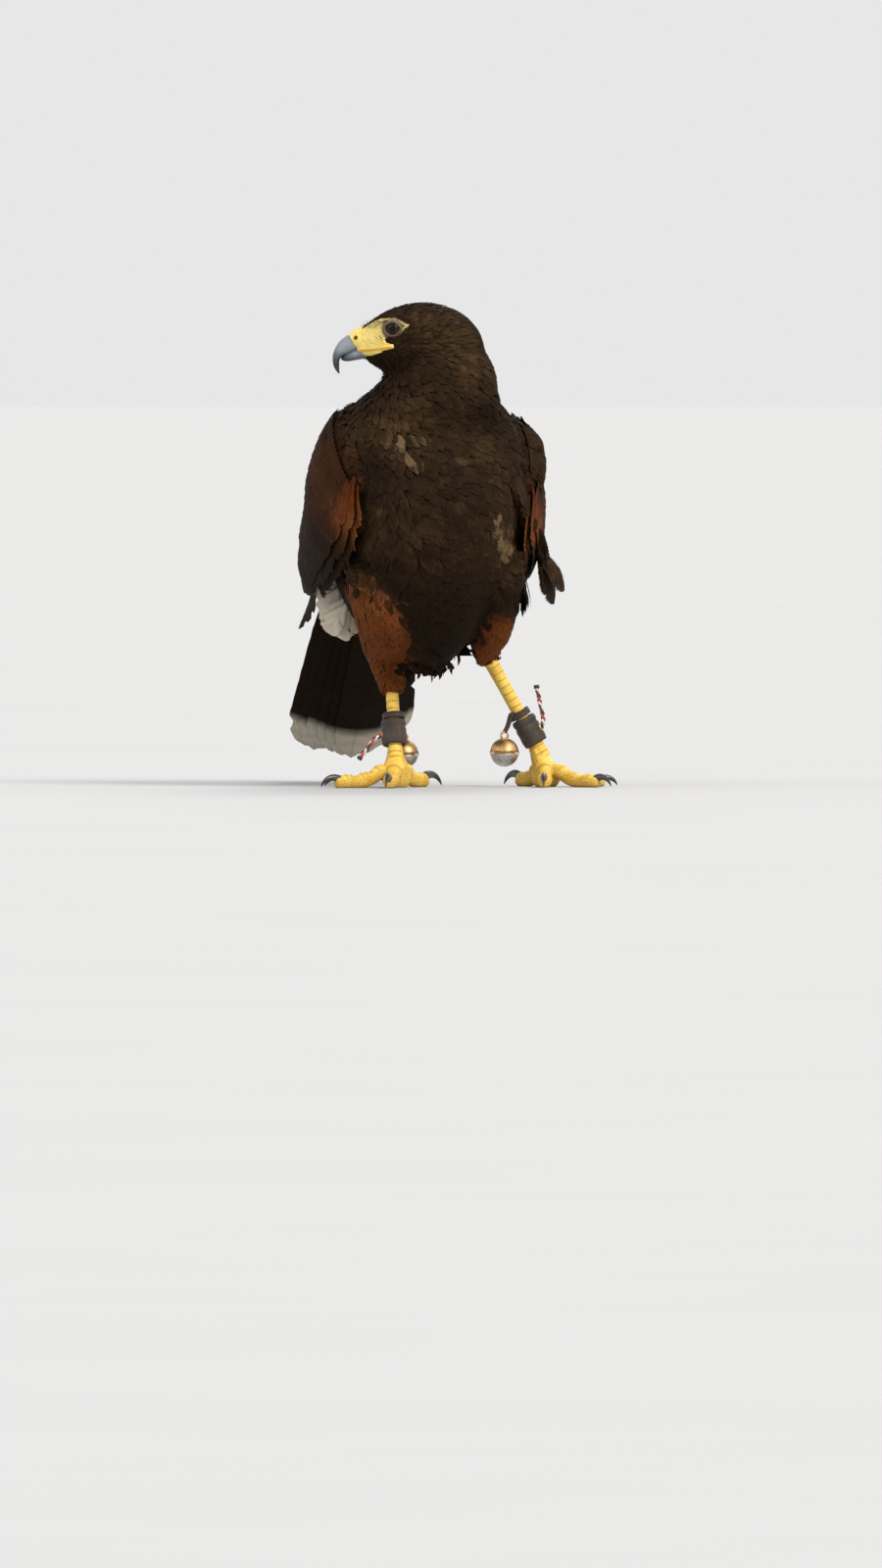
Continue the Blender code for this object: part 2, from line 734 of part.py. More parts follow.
def tail_point(forth, across, up):
    return TAIL_BASE + TAIL_AXIS * forth + TAIL_SIDE * across + TAIL_UP * (up - TAIL_ARCH * across * across)


def tail_width(x):
    if x < 0.5:
        return 0.30 + 0.70 * math.sin(math.pi * x)
    return 1 - 0.52 * max(0.0, (x - 0.86) / 0.14) ** 2.2


def tail_feather(rank, hand):
    """rank 0 is a middle feather and 5 an outermost; hand is -1 or 1."""
    stack = min(2 * rank, rank + 3) + (0.5 if hand > 0 else -0.5)
    spread = (rank + 0.5) / (TAIL_FEATHERS / 2 - 0.5)
    reach = TAIL_LENGTH - 5 * spread ** 2
    rows = []
    for x in (0, 0.3, 0.8, 0.94, 1):
        middle = hand * spread * ((TAIL_TIP_WIDTH - TAIL_FEATHER_WIDTH) / 2) * (0.16 + 0.84 * x)
        half = TAIL_FEATHER_WIDTH / 2 * tail_width(x)
        up = -TAIL_STACK * stack + 5 * x * (1 - x)
        forth = reach * x
        rows.append((
            tail_point(forth, middle - half, up),
            tail_point(forth, middle, up),
            tail_point(forth, middle + half, up),
            TAIL_UP,
        ))
    return blade("rectrix", rows, "flight_feather")


STUMP_KEYS = (
    # distance along the tail, half width, half thickness
    (-12, 8, 5),
    (-6, 15, 8),
    (6, 19, 8.6),
    (18, 19.5, 7.6),
    (26, 18, 4.6),
)
STUMP_DROP = 4            # the stump lies this far under the top feathers


def stump_skin(name):
    """The short fleshy stump that holds the tail's feathers."""
    rings = []
    for forth, half, thick in STUMP_KEYS:
        rings.append(ellipse(tail_point(forth, 0, -STUMP_DROP), TAIL_SIDE * half, TAIL_UP * thick, 14))
    return loft(name, rings, "white_feather")


def build_tail():
    stump = stump_skin("stump")
    feathers = [tail_feather(rank, hand) for rank in range(TAIL_FEATHERS // 2) for hand in (-1, 1)]
    return fuse("tail", [stump] + feathers)


# Rump: the hind end of the torso, with the tail coverts that grow from it.

RUMP_CUT = 60             # the torso ends at this y, where the rump begins
TAIL_COVERTS = 5          # over the tail, and as many under it


def build_torso_and_rump():
    torso = torso_skin("torso")
    rump = torso_skin("rump")
    rump.data.materials[0] = material("dark_feather")
    cut(torso, slab((-200, RUMP_CUT, 0), (200, 200, 400)))
    cut(rump, slab((-200, -200, 0), (200, RUMP_CUT + GAP, 400)))
    coverts = []
    for i in range(TAIL_COVERTS):
        share = i / (TAIL_COVERTS - 1) - 0.5
        forth = 78 - 26 * abs(share) ** 1.5
        step = 1.1 * (i % 2)
        root = tail_point(-14, share * 24, 8 + step)
        tip = tail_point(forth, share * 34, 5.4 + step)
        coverts.append(straight_vane("upper_covert", root, tip, TAIL_UP, 18, "white_feather", 1.5, 4))
        root = tail_point(-12, share * 30, -17 - step)
        tip = tail_point(forth + 6, share * 50, -14.2 - step)
        coverts.append(straight_vane("under_covert", root, tip, TAIL_UP, 21, "white_feather", -2.0, 4))
    return torso, fuse("rump", [rump] + coverts)


# Legs

THIGH_KEYS = {
    # share of length from knee to hock, half breadth, half depth
    "right": (
        (0.00, 17, 22),
        (0.25, 21, 25),
        (0.55, 22, 25),
        (0.80, 20, 22),
        (1.00, 16, 17.5),
        (1.20, 10, 10.5),
        (1.32, 6.8, 7.2),
    ),
    "left": (
        (0.00, 17, 22),
        (0.25, 20, 24.5),
        (0.55, 17, 20),
        (0.80, 14.5, 16.5),
        (0.95, 11, 12),
        (1.10, 8, 8.6),
        (1.32, 6.2, 6.6),
    ),
}
THIGH_BOW = {"right": 17, "left": 5}     # the trousers hang this far in front of the bone
FEATHERED_TO = {"right": 1.28, "left": 1.08}   # shares of the drumstick's length, past the hock
SHANK_RADIUS = 4.5
SHANK_SCUTES = 8
SHANK_SIDES = 10
SHIELD_RISE = 0.8
SHANK_FRONT = {"right": (-0.4, -0.9, 0), "left": (0.3, -0.95, 0)}
TOE_KEYS = {
    # length, radius at the root, radius at the tip, claw length, claw radius, number of shields
    "middle": (42, 5.2, 4.3, 18, 3.0, 6),
    "outer": (34, 4.7, 3.9, 15, 2.7, 5),
    "inner": (31, 5.2, 4.5, 21, 3.4, 4),
    "hind": (24, 5.4, 4.7, 23, 3.7, 3),
}
# Direction of each toe on the floor, in degrees from the photograph's right, towards the back of the scene.
TOE_TURN = {
    "right": {"middle": -149, "outer": 172, "inner": -98, "hind": 48},
    "left": {"middle": -42, "outer": 8, "inner": -92, "hind": 128},
}
VIEW_AZIMUTH = math.radians(-14)
TOE_SIDES = 7
TOE_PADS = 3
TOE_SHIELD_RISE = 0.8
TOE_HUMP = 5.5            # how much higher a toe is where it leaves the ball of the foot
TOE_SINK = 0.45           # how far each pad is pressed flat on the floor
CLAW_BEND = 112           # degrees that a claw turns through
CLAW_ROOT = 1.2           # a claw starts this far inside the toe's end, and is cut to its face
CLAW_POINT_HEIGHT = 0.9   # the claw's point ends this far above the floor


def floor_direction(degrees):
    angle = math.radians(degrees) + VIEW_AZIMUTH
    return Vector((math.cos(angle), math.sin(angle), 0))


def thigh_skin(name):
    """The feathered drumstick from knee to hock, its feathers running on down the front of the shank."""
    knee, hock, foot = KNEE[name], HOCK[name], BALL[name]
    rings = []
    shin = (foot - hock).normalized()
    for u in steps(0, FEATHERED_TO[name], 9):
        half, deep = along(THIGH_KEYS[name], u)
        if u <= 1:
            centre = knee.lerp(hock, u) - Vector((0, THIGH_BOW[name] * math.sin(math.pi * u), 0))
        else:
            centre = hock + shin * (u - 1) * (hock - knee).length
        ahead = (hock - knee).normalized().lerp(shin, min(max((u - 0.85) / 0.3, 0), 1)).normalized()
        across = Vector((1, 0, 0))
        across = (across - ahead * across.dot(ahead)).normalized()
        over = ahead.cross(across).normalized()
        rings.append(ellipse(centre, across * half, over * deep, 14))
    return loft("thigh_" + name, rings, "rufous_feather")


def shank_point(name, share):
    """share 0 at the ball of the foot and 1 at the hock."""
    return BALL[name].lerp(HOCK[name], share)


def shank_skin(name):
    """The bare shank, with a row of overlapping shields raised on its front."""
    top, bottom = shank_point(name, 0.97), shank_point(name, 0.05)
    ahead = (bottom - top).normalized()
    front = Vector(SHANK_FRONT[name])
    front = (front - ahead * front.dot(ahead)).normalized()
    across = ahead.cross(front).normalized()
    rings = []
    for k in range(SHANK_SCUTES):
        for part, raised in ((0.06, SHIELD_RISE), (0.97, 0.0)):
            share = (k + part) / SHANK_SCUTES
            waist = 1 + 0.28 * abs(2 * share - 1) ** 3
            ring = []
            for i in range(SHANK_SIDES):
                angle = 2 * math.pi * i / SHANK_SIDES
                facing = max(0.0, math.cos(angle)) ** 1.5
                reach = SHANK_RADIUS * waist + raised * facing
                ring.append(top.lerp(bottom, share) + front * reach * 1.12 * math.cos(angle)
                            + across * reach * math.sin(angle))
            rings.append(ring)
    return loft("shank_" + name, rings, "yellow_skin")


FOOT_KEYS = (
    # height, radius, how far it follows the shank's slope
    (-1.0, 5.6, 0),
    (1.6, 8.4, 0),
    (6, 10.2, 0),
    (12, 9.6, 0.2),
    (18, 7.6, 0.9),
    (22, 6.1, 1.0),
)


def foot_body(name):
    """The ball of the foot, where the toes meet, with its pad on the floor."""
    at = BALL[name]
    up = (HOCK[name] - at).normalized()
    rings = []
    for z, half, lean in FOOT_KEYS:
        centre = Vector((at.x, at.y, z))
        if lean:
            centre += Vector((up.x, up.y, 0)) * (z - at.z + 6) * lean * 0.8
        rings.append(ellipse(centre, Vector((half, 0, 0)), Vector((0, half, 0)), 12))
    return loft("foot_" + name, rings, "yellow_skin")


def toe_path(name, toe):
    """Points along the toe's middle: out of the ball of the foot, down to the floor, flat to its end."""
    length, radius, tip_radius, _, _, shields = TOE_KEYS[toe]
    out = floor_direction(TOE_TURN[name][toe])
    start = Vector((BALL[name].x, BALL[name].y, 0))
    points, radii = [], []
    for k in range(2 * shields):
        x = (k // 2 + (0.04 if k % 2 == 0 else 0.96)) / shields
        hump = TOE_HUMP * math.exp(-((x - 0.16) / 0.22) ** 2)
        r = (radius + (tip_radius - radius) * x) * (1 - 0.07 * math.cos(2 * math.pi * x * TOE_PADS))
        points.append(start + out * (5 + length * x) + Vector((0, 0, r - TOE_SINK + hump)))
        radii.append(r)
    return points, radii, out


def toe_skin(name, toe):
    """The toe: pads below, and above a row of shields, each raised where it starts."""
    points, radii, out = toe_path(name, toe)
    across = Vector((0, 0, 1)).cross(out).normalized()
    rings = []
    for k, (point, r) in enumerate(zip(points, radii)):
        ring = []
        for i in range(TOE_SIDES):
            angle = 2 * math.pi * (i + 0.5) / TOE_SIDES
            raised = TOE_SHIELD_RISE * max(0.0, math.sin(angle)) * (k % 2)
            up = Vector((0, 0, (r + raised) * math.sin(angle)))
            ring.append(point + across * r * math.cos(angle) + up)
        rings.append(ring)
    return loft("toe", rings, "yellow_skin")


def claw_skin(name, toe):
    """A hooked claw, its point resting just above the floor."""
    points, radii, out = toe_path(name, toe)
    length, radius = TOE_KEYS[toe][3:5]
    start = points[-1] - out * CLAW_ROOT
    start.z = radii[-1] + 0.9
    bend = math.radians(CLAW_BEND)
    arc = length / bend
    rise = bend / 2 + math.asin((CLAW_POINT_HEIGHT - start.z) / (2 * arc * math.sin(bend / 2)))
    rings = []
    for x in steps(0, 1, 6):
        angle = rise - bend * x
        forth = arc * (math.sin(rise) - math.sin(angle))
        up = arc * (math.cos(angle) - math.cos(rise))
        centre = start + out * forth + Vector((0, 0, up))
        over = (out * -math.sin(angle) + Vector((0, 0, math.cos(angle)))).normalized()
        r = radius * (1 - x) ** 0.75 + 0.25
        across = Vector((0, 0, 1)).cross(out)
        rings.append(ellipse(centre, across * r * 0.82, over * r, 6))
    return loft("claw_%s_%s" % (name, toe), rings, "claw_horn")


def build_leg(name):
    thigh = thigh_skin(name)
    cut(thigh, torso_room())
    shank = shank_skin(name)
    cut(shank, swell_mesh(thigh_skin(name), GAP))
    foot = fuse("foot_" + name, [foot_body(name)] + [toe_skin(name, toe) for toe in TOE_KEYS])
    cut(foot, swell_mesh(shank_skin(name), GAP), slab((-400, -400, -60), (400, 400, 0)))
    for toe in TOE_KEYS:
        claw = claw_skin(name, toe)
        cut(claw, swell_mesh(toe_skin(name, toe), 1.4 * GAP))
        lowest = min(v.co.z for v in claw.data.vertices) / MM
        if lowest < 0.2:
            raise ValueError("a claw is through the floor: %s %s %.2f" % (name, toe, lowest))


# What the bird wears on each shank: a leather cuff closed by a brass eyelet, a bell hung from
# a small strap of its own, and a short plaited jess that stands out from the eyelet.

CUFF_LOW, CUFF_HIGH = 0.17, 0.40      # shares of the shank, from the ball of the foot up
BAND_LOW, BAND_HIGH = 0.415, 0.47
BELL_RADIUS = 10
BELL_SLOT = 1.3
BELL_PLACE = {"right": Vector((-10, 12, 23)), "left": Vector((56, -10, 24))}
EYELET_SHARE = 0.27
EYELET_TURN = {"right": -178, "left": -4}      # degrees from the photograph's right
JESS_LENGTH = {"right": 21, "left": 28}
JESS_RADIUS = 2.4
JESS_LEAN = {"right": Vector((-0.62, 0.0, -0.78)), "left": Vector((-0.2, 0.05, 0.95))}
SHANK_REACH = SHANK_RADIUS * 1.2 + SHIELD_RISE


def shank_axis(name):
    return (HOCK[name] - BALL[name]).normalized()


def collar(name, node, profile, finish, sides=12):
    """A turned collar round the shank, from rows of (share of the shank, wall)."""
    axis = shank_axis(name)
    across = axis.orthogonal().normalized()
    other = axis.cross(across)
    rings = []
    for share, wall in profile:
        reach = SHANK_REACH + wall
        rings.append(ellipse(shank_point(name, share), across * reach, other * reach, sides))
    return loft(node, rings, finish)


def build_cuff(name):
    """The leather cuff, pinched in below its rolled upper edge."""
    height = CUFF_HIGH - CUFF_LOW
    rows = ((0.0, 1.3), (0.06, 2.3), (0.62, 2.2), (0.72, 1.5), (0.80, 2.1), (1.0, 1.6))
    cuff = collar(name, "anklet_" + name, [(CUFF_LOW + height * x, wall) for x, wall in rows], "leather")
    cut(cuff, shank_room(name))
    return cuff


def shank_room(name):
    return swell_mesh(shank_skin(name), GAP)


def bell_skin(name):
    """A round bell with a loop on top."""
    centre = BELL_PLACE[name]
    bell = ball("bell", centre, BELL_RADIUS, "brass", 7, 13)
    rings = []
    for i in range(8):
        angle = 2 * math.pi * i / 8
        outwards = Vector((math.cos(angle), 0, math.sin(angle)))
        middle = centre + Vector((0, 0, BELL_RADIUS + 1.6)) + outwards * 2.4
        rings.append(ellipse(middle, outwards * 0.8, Vector((0, 0.8, 0)), 5))
    return fuse("bell_" + name, [bell, ring_skin("loop", rings, "brass")])


def build_bell(name):
    bell = bell_skin(name)
    view = floor_direction(-90)
    low = BELL_PLACE[name] + view * BELL_RADIUS
    cut(bell, slab(low - Vector((30, 3, BELL_SLOT / 2)), low + Vector((30, 3, BELL_SLOT / 2))))
    return bell


def build_bewit(name):
    """The strap that carries the bell: a band round the shank above the cuff, and its tail."""
    rows = ((BAND_LOW, 1.2), (BAND_LOW + 0.015, 1.9), (BAND_HIGH - 0.015, 1.9), (BAND_HIGH, 1.2))
    band = collar(name, "bewit_" + name, rows, "leather", 12)
    loop = BELL_PLACE[name] + Vector((0, 0, BELL_RADIUS + 3.6))
    start = shank_point(name, (BAND_LOW + BAND_HIGH) / 2)
    away = Vector((loop.x - start.x, loop.y - start.y, 0)).normalized()
    edge = start + away * SHANK_REACH
    path = [start + away * 4, edge + away * 2.2, edge.lerp(loop, 0.6), loop]
    tail = tube("tail", path, [1.9, 2.1, 2.1, 2.0], 6, "leather", 0.55, up=Vector((0, 0, 1)).cross(away))
    strap = fuse("bewit_" + name, [band, tail])
    room = swell_mesh(bell_skin(name), GAP)
    cut(strap, shank_room(name), room)
    return strap


def build_eyelet_and_jess(name, cuff):
    out = floor_direction(EYELET_TURN[name])
    axis = shank_axis(name)
    out = (out - axis * out.dot(axis)).normalized()
    across = axis.cross(out)
    face = shank_point(name, EYELET_SHARE) + out * (SHANK_REACH + 2.2)
    rings = []
    for forth, radius in ((-1.2, 3.2), (0.4, 3.2), (0.9, 2.5)):
        rings.append(ellipse(face + out * forth, across * radius, axis * radius, 10))
    eyelet = loft("eyelet_" + name, rings, "brass")
    room = bpy.data.objects.new("cuff_room", cuff.data.copy())
    bpy.context.scene.collection.objects.link(room)
    cut(eyelet, swell_mesh(room, GAP))
    lean = JESS_LEAN[name]
    lean = floor_direction(0) * lean.x + floor_direction(90) * lean.y + Vector((0, 0, lean.z))
    lean.normalize()
    start = face + out * (0.9 + GAP)
    length = JESS_LENGTH[name]
    path, radii = [], []
    for x in steps(0, 1, 9):
        bent = out * (JESS_RADIUS + 0.8) * min(x * 4, 1) ** 0.5
        path.append(start + bent + lean * length * x * min(0.3 + x * 1.5, 1))
        radii.append(JESS_RADIUS * (0.7 if x in (0, 1) else 1))
    jess = tube("jess_" + name, path, radii, 7, "braid", 0.8, up=across)
    stud = bpy.data.objects.new("stud_room", eyelet.data.copy())
    bpy.context.scene.collection.objects.link(stud)
    cut(jess, swell_mesh(stud, GAP))


def swell_mesh(thing, amount):
    """Moves every point outwards along its normal."""
    shell = bmesh.new()
    shell.from_mesh(thing.data)
    shell.normal_update()
    for vertex in shell.verts:
        vertex.co += vertex.normal * amount * MM
    shell.to_mesh(thing.data)
    shell.free()
    return thing


def stand_on_origin():
    """Moves the whole bird so that the origin is under the middle of its box, on the floor."""
    parts = [thing for thing in bpy.context.scene.objects if thing.type == "MESH"]
    corners = [vertex.co for thing in parts for vertex in thing.data.vertices]
    middle = [(min(c[k] for c in corners) + max(c[k] for c in corners)) / 2 for k in (0, 1)]
    for thing in parts:
        thing.data.transform(Matrix.Translation((-middle[0], -middle[1], 0)))


def main():
    torso, rump = build_torso_and_rump()
    whole = [neck_skin("throat"), torso_skin("whole")]
    flank = Flank(*whole)
    for thing in whole:
        bpy.data.objects.remove(thing)
    neck = neck_skin("neck")
    cut(neck, torso_room(), swell_mesh(head_skin("head_room"), GAP))
    build_head()
    tail = build_tail()
    cut(rump, swell_mesh(stump_skin("stump_room"), GAP))
    for name in SIDES:
        build_wing(name, flank)
        build_leg(name)
        cuff = build_cuff(name)
        build_bell(name)
        build_bewit(name)
        build_eyelet_and_jess(name, cuff)
    stand_on_origin()


if __name__ == "__main__":
    main()
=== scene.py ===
import heapq
import math

import bmesh
import bpy
import numpy as np
from mathutils import Matrix, Vector
from mathutils.bvhtree import BVHTree
from mathutils.kdtree import KDTree


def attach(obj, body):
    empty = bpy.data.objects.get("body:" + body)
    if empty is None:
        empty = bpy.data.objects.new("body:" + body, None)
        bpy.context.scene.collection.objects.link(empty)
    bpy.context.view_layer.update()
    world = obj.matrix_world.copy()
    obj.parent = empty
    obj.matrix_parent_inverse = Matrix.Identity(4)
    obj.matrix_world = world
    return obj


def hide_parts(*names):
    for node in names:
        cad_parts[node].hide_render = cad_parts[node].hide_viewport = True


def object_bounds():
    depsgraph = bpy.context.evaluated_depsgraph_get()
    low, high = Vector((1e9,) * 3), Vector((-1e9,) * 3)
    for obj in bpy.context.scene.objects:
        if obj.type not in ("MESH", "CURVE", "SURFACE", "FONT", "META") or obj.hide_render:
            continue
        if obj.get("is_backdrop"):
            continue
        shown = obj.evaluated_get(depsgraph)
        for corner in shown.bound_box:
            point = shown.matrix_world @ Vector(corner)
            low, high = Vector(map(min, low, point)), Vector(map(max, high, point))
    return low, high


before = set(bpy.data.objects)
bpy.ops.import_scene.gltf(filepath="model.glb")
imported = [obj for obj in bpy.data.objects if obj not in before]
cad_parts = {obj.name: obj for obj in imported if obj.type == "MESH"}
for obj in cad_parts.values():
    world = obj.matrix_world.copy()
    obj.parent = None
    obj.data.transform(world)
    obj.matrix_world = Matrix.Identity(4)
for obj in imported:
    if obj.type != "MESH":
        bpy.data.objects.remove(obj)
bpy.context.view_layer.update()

# Skin
# One hide covers head, neck, trunk, rump, both thighs and both folded wing arms. It lies inside
# the feathered outline by the depth of the plumage, and carries the plumage's own markings, so
# that no gap between feathers shows a seam. Bird's own millimetres are used here and below:
# the breast faces -Y, the left side is +X, and the zero is under the shoulders on the floor.

MM = 0.001
ORIGIN = np.array((-26.313, -74.130, 0.0))
SKIN_VOXEL = 1.55
FLOW_VOXEL = 4.2
SIDES = {"right": -1, "left": 1}


def vec(*numbers):
    return np.array(numbers, float)


def unit(v):
    length = np.linalg.norm(v, axis=-1, keepdims=True)
    return v / np.maximum(length, 1e-12)


def soft(x, low, high):
    """0 below low and 1 above high, smooth between, in plain numbers."""
    f = np.clip((np.asarray(x, float) - low) / (high - low), 0, 1)
    return f * f * (3 - 2 * f)


def along(keys, x):
    """Smooth values at x from rows of (x, value, value, ...), by cubic Hermite pieces."""
    last = len(keys) - 1
    i = 0
    while i < last - 1 and x > keys[i + 1][0]:
        i += 1
    before, low, high, after = (np.array(keys[k], float) for k in (max(i - 1, 0), i, i + 1, min(i + 2, last)))
    step = high[0] - low[0]
    f = (x - low[0]) / step
    slope_low = (high - before) / (high[0] - before[0])
    slope_high = (after - low) / (after[0] - low[0])
    found = (low * (1 + 2 * f) * (1 - f) ** 2 + slope_low * step * f * (1 - f) ** 2
             + high * f * f * (3 - 2 * f) + slope_high * step * f * f * (f - 1))
    return found[1:]


def ellipse(centre, across, up, sides, power=2.0, egg=0.0):
    """A ring of points; power over 2 makes it squarer, and egg widens it towards up."""
    angle = 2 * math.pi * np.arange(sides) / sides
    c, s = np.cos(angle), np.sin(angle)
    c = np.sign(c) * np.abs(c) ** (2 / power)
    s = np.sign(s) * np.abs(s) ** (2 / power)
    return centre + np.outer(c * (1 + egg * s), across) + np.outer(s, up)


def loft(rings):
    """Points and faces of a closed skin through rings of equal count."""
    rings = np.array(rings)
    count, sides = rings.shape[:2]
    points = rings.reshape(-1, 3)
    k, i = np.meshgrid(np.arange(count - 1), np.arange(sides), indexing="ij")
    j = (i + 1) % sides
    quads = np.stack([k * sides + i, k * sides + j, (k + 1) * sides + j, (k + 1) * sides + i], -1)
    faces = [tuple(q) for q in quads.reshape(-1, 4).tolist()]
    faces.append(tuple(range(sides))[::-1])
    faces.append(tuple(range((count - 1) * sides, count * sides)))
    return points, faces


def mesh_of(name, points, faces):
    """A mesh in metres in the frame, from points in the bird's millimetres."""
    mesh = bpy.data.meshes.new(name)
    mesh.from_pydata(((np.asarray(points) + ORIGIN) * MM).tolist(), [], faces)
    mesh.validate()
    return mesh


def place(name, mesh):
    made = bpy.data.objects.new(name, mesh)
    bpy.context.scene.collection.objects.link(made)
    return made


def outwards(mesh):
    """Turns every face of a closed mesh outwards."""
    shell = bmesh.new()
    shell.from_mesh(mesh)
    bmesh.ops.recalc_face_normals(shell, faces=shell.faces)
    shell.to_mesh(mesh)
    shell.free()
    return mesh


def points_of(mesh):
    """A mesh's points in the bird's millimetres."""
    co = np.empty(len(mesh.vertices) * 3, np.float32)
    mesh.vertices.foreach_get("co", co)
    return co.reshape(-1, 3).astype(float) / MM - ORIGIN


def normals_of(mesh):
    found = np.empty(len(mesh.vertices) * 3, np.float32)
    mesh.vertex_normals.foreach_get("vector", found)
    return found.reshape(-1, 3).astype(float)


def tree_of(mesh):
    """A search tree of a mesh, in the bird's millimetres."""
    mesh.calc_loop_triangles()
    corners = np.empty(len(mesh.loop_triangles) * 3, np.int32)
    mesh.loop_triangles.foreach_get("vertices", corners)
    return BVHTree.FromPolygons(points_of(mesh).tolist(), corners.reshape(-1, 3).tolist())


def remeshed(name, parts, voxel):
    """One closed mesh of everything that the closed parts fill."""
    points, faces = [], []
    for part_points, part_faces in parts:
        start = sum(len(p) for p in points)
        points.append(part_points)
        faces += [tuple(start + v for v in face) for face in part_faces]
    made = place(name, mesh_of(name, np.concatenate(points), faces))
    outwards(made.data)
    shrink = made.modifiers.new("voxels", "REMESH")
    shrink.mode = "VOXEL"
    shrink.voxel_size = voxel * MM
    graph = bpy.context.evaluated_depsgraph_get()
    mesh = bpy.data.meshes.new_from_object(made.evaluated_get(graph))
    bpy.data.objects.remove(made)
    return mesh


def neighbours_mean(mesh, values, rounds, weight=0.5):
    """Values of a mesh's points, each drawn towards the mean of its neighbours."""
    pairs = np.empty(len(mesh.edges) * 2, np.int32)
    mesh.edges.foreach_get("vertices", pairs)
    a, b = pairs.reshape(-1, 2).T
    values = np.array(values, float)
    flat = values.reshape(len(values), -1)
    count = np.bincount(a, minlength=len(flat)) + np.bincount(b, minlength=len(flat))
    share = weight if np.isscalar(weight) else np.asarray(weight)[:, None]
    for _ in range(rounds):
        total = np.zeros_like(flat)
        for column in range(flat.shape[1]):
            total[:, column] = (np.bincount(a, flat[b, column], len(flat))
                                + np.bincount(b, flat[a, column], len(flat)))
        flat = flat * (1 - share) + total / np.maximum(count, 1)[:, None] * share
    return flat.reshape(values.shape)


TORSO_KEYS = (
    # share of length, back y, back z, belly y, belly z, half width, back over belly width, lean
    (0.00, 94, 170, 82, 150, 20, 0.00, 0),
    (0.10, 85, 190, 58, 118, 40, 0.10, 0),
    (0.26, 60, 222, 20, 82, 56, 0.30, 0),
    (0.44, 30, 248, -34, 88, 63, 0.34, -1),
    (0.62, 5, 266, -74, 128, 65, 0.24, -2),
    (0.78, -12, 275, -94, 178, 64, 0.10, -4),
    (0.90, -18, 280, -95, 216, 59, 0.02, -6),
    (1.00, -21, 281, -86, 243, 52, 0.00, -7),
)
NECK_KEYS = (
    # z, middle along the head's forward, half length, middle y offset, half depth
    (236, -1.0, 46.0, 0, 33.0),
    (252, -1.0, 51.0, 0, 37.0),
    (262, -3.8, 50.8, 0, 38.5),
    (272, -7.8, 44.5, 0, 36.0),
    (282, -11.5, 39.8, 0, 32.0),
    (292, -12.0, 36.0, 0, 29.5),
    (302, -10.5, 32.0, 0, 25.5),
)
HEAD_KEYS = (
    # forward, top, bottom, half width
    (-43.0, 303, 294, 6),
    (-39.0, 313.2, 284, 15),
    (-28.0, 324.8, 275, 23.5),
    (-11.0, 331.9, 272, 27.5),
    (4.0, 332.8, 274, 28.5),
    (17.0, 330.2, 279, 26.5),
    (26.0, 326.4, 284, 22.5),
    (33.0, 322.0, 288.5, 17),
    (39.0, 317.8, 292.5, 12.4),
    (43.0, 315.2, 294.6, 10),
    (46.5, 312.6, 296.0, 7.6),
)
BROW_KEYS = (
    # share of length, forward, height, how far out of the head's side, radius
    (0.00, 34, 317.6, 0.2, 1.6),
    (0.25, 28, 320.2, 1.3, 2.7),
    (0.50, 22, 322.2, 1.8, 3.1),
    (0.75, 16, 322.8, 1.2, 2.9),
    (1.00, 9, 321.6, 0.0, 1.6),
)
HEAD_YAW = math.radians(-104)
HEAD_FORWARD = vec(math.sin(HEAD_YAW), -math.cos(HEAD_YAW), 0)
HEAD_LEFT = np.cross(vec(0, 0, 1), HEAD_FORWARD)
HEAD_ORIGIN = vec(-11.7, -47.0, 2.4)
KNEE = {"right": vec(-50, -42, 160), "left": vec(42, -50, 166)}
HOCK = {"right": vec(-20, 12, 89), "left": vec(46, 2, 92)}
BALL = {"right": vec(-21, -10, 17), "left": vec(87, -4, 17)}
THIGH_KEYS = {
    # share of length from knee to hock, half breadth, half depth
    "right": (
        (0.00, 17, 22),
        (0.25, 21, 25),
        (0.55, 22, 25),
        (0.80, 20, 22),
        (1.00, 16, 17.5),
        (1.20, 10, 10.5),
        (1.32, 6.8, 7.2),
    ),
    "left": (
        (0.00, 17, 22),
        (0.25, 20, 24.5),
        (0.55, 17, 20),
        (0.80, 14.5, 16.5),
        (0.95, 11, 12),
        (1.10, 8, 8.6),
        (1.32, 6.2, 6.6),
    ),
}
THIGH_BOW = {"right": 17, "left": 5}
FEATHERED_TO = {"right": 1.28, "left": 1.08}
WING_KEYS = (
    # share of length from wrist to tip, lower edge, middle and upper edge, each x y z
    (0.00, 56, -74, 210, 62, -64, 236, 46, -40, 258),
    (0.25, 66, -30, 167, 71, -6, 206, 44, 8, 254),
    (0.50, 64, 42, 143, 61, 54, 176, 24, 64, 214),
    (0.75, 50, 108, 124, 42, 114, 144, 17, 116, 166),
    (1.00, 46, 174, 103, 38, 176, 111, 27, 177, 121),
)
WING_SHIFT = {-1: vec(0, 0, 0), 1: vec(-4, 5, -7)}
WING_SPREAD = {-1: 0.0, 1: 5.0}
BODY_ROOM = 2.4
LEAST_ROOM = 1.3
HAND_START = 0.13
ARM_OFFSET = 5.8
TAIL_BASE = vec(0, 80, 163)
TAIL_LENGTH = 214
TAIL_SLOPE = math.radians(43)
TAIL_SWING = math.radians(3.7)
TAIL_TIP_WIDTH = 88
TAIL_ARCH = 0.0045
TAIL_AXIS = vec(math.sin(TAIL_SWING) * math.cos(TAIL_SLOPE), math.cos(TAIL_SWING) * math.cos(TAIL_SLOPE),
                -math.sin(TAIL_SLOPE))
TAIL_SIDE = -unit(np.cross(vec(0, 0, 1), TAIL_AXIS))
TAIL_UP = -unit(np.cross(TAIL_SIDE, TAIL_AXIS))


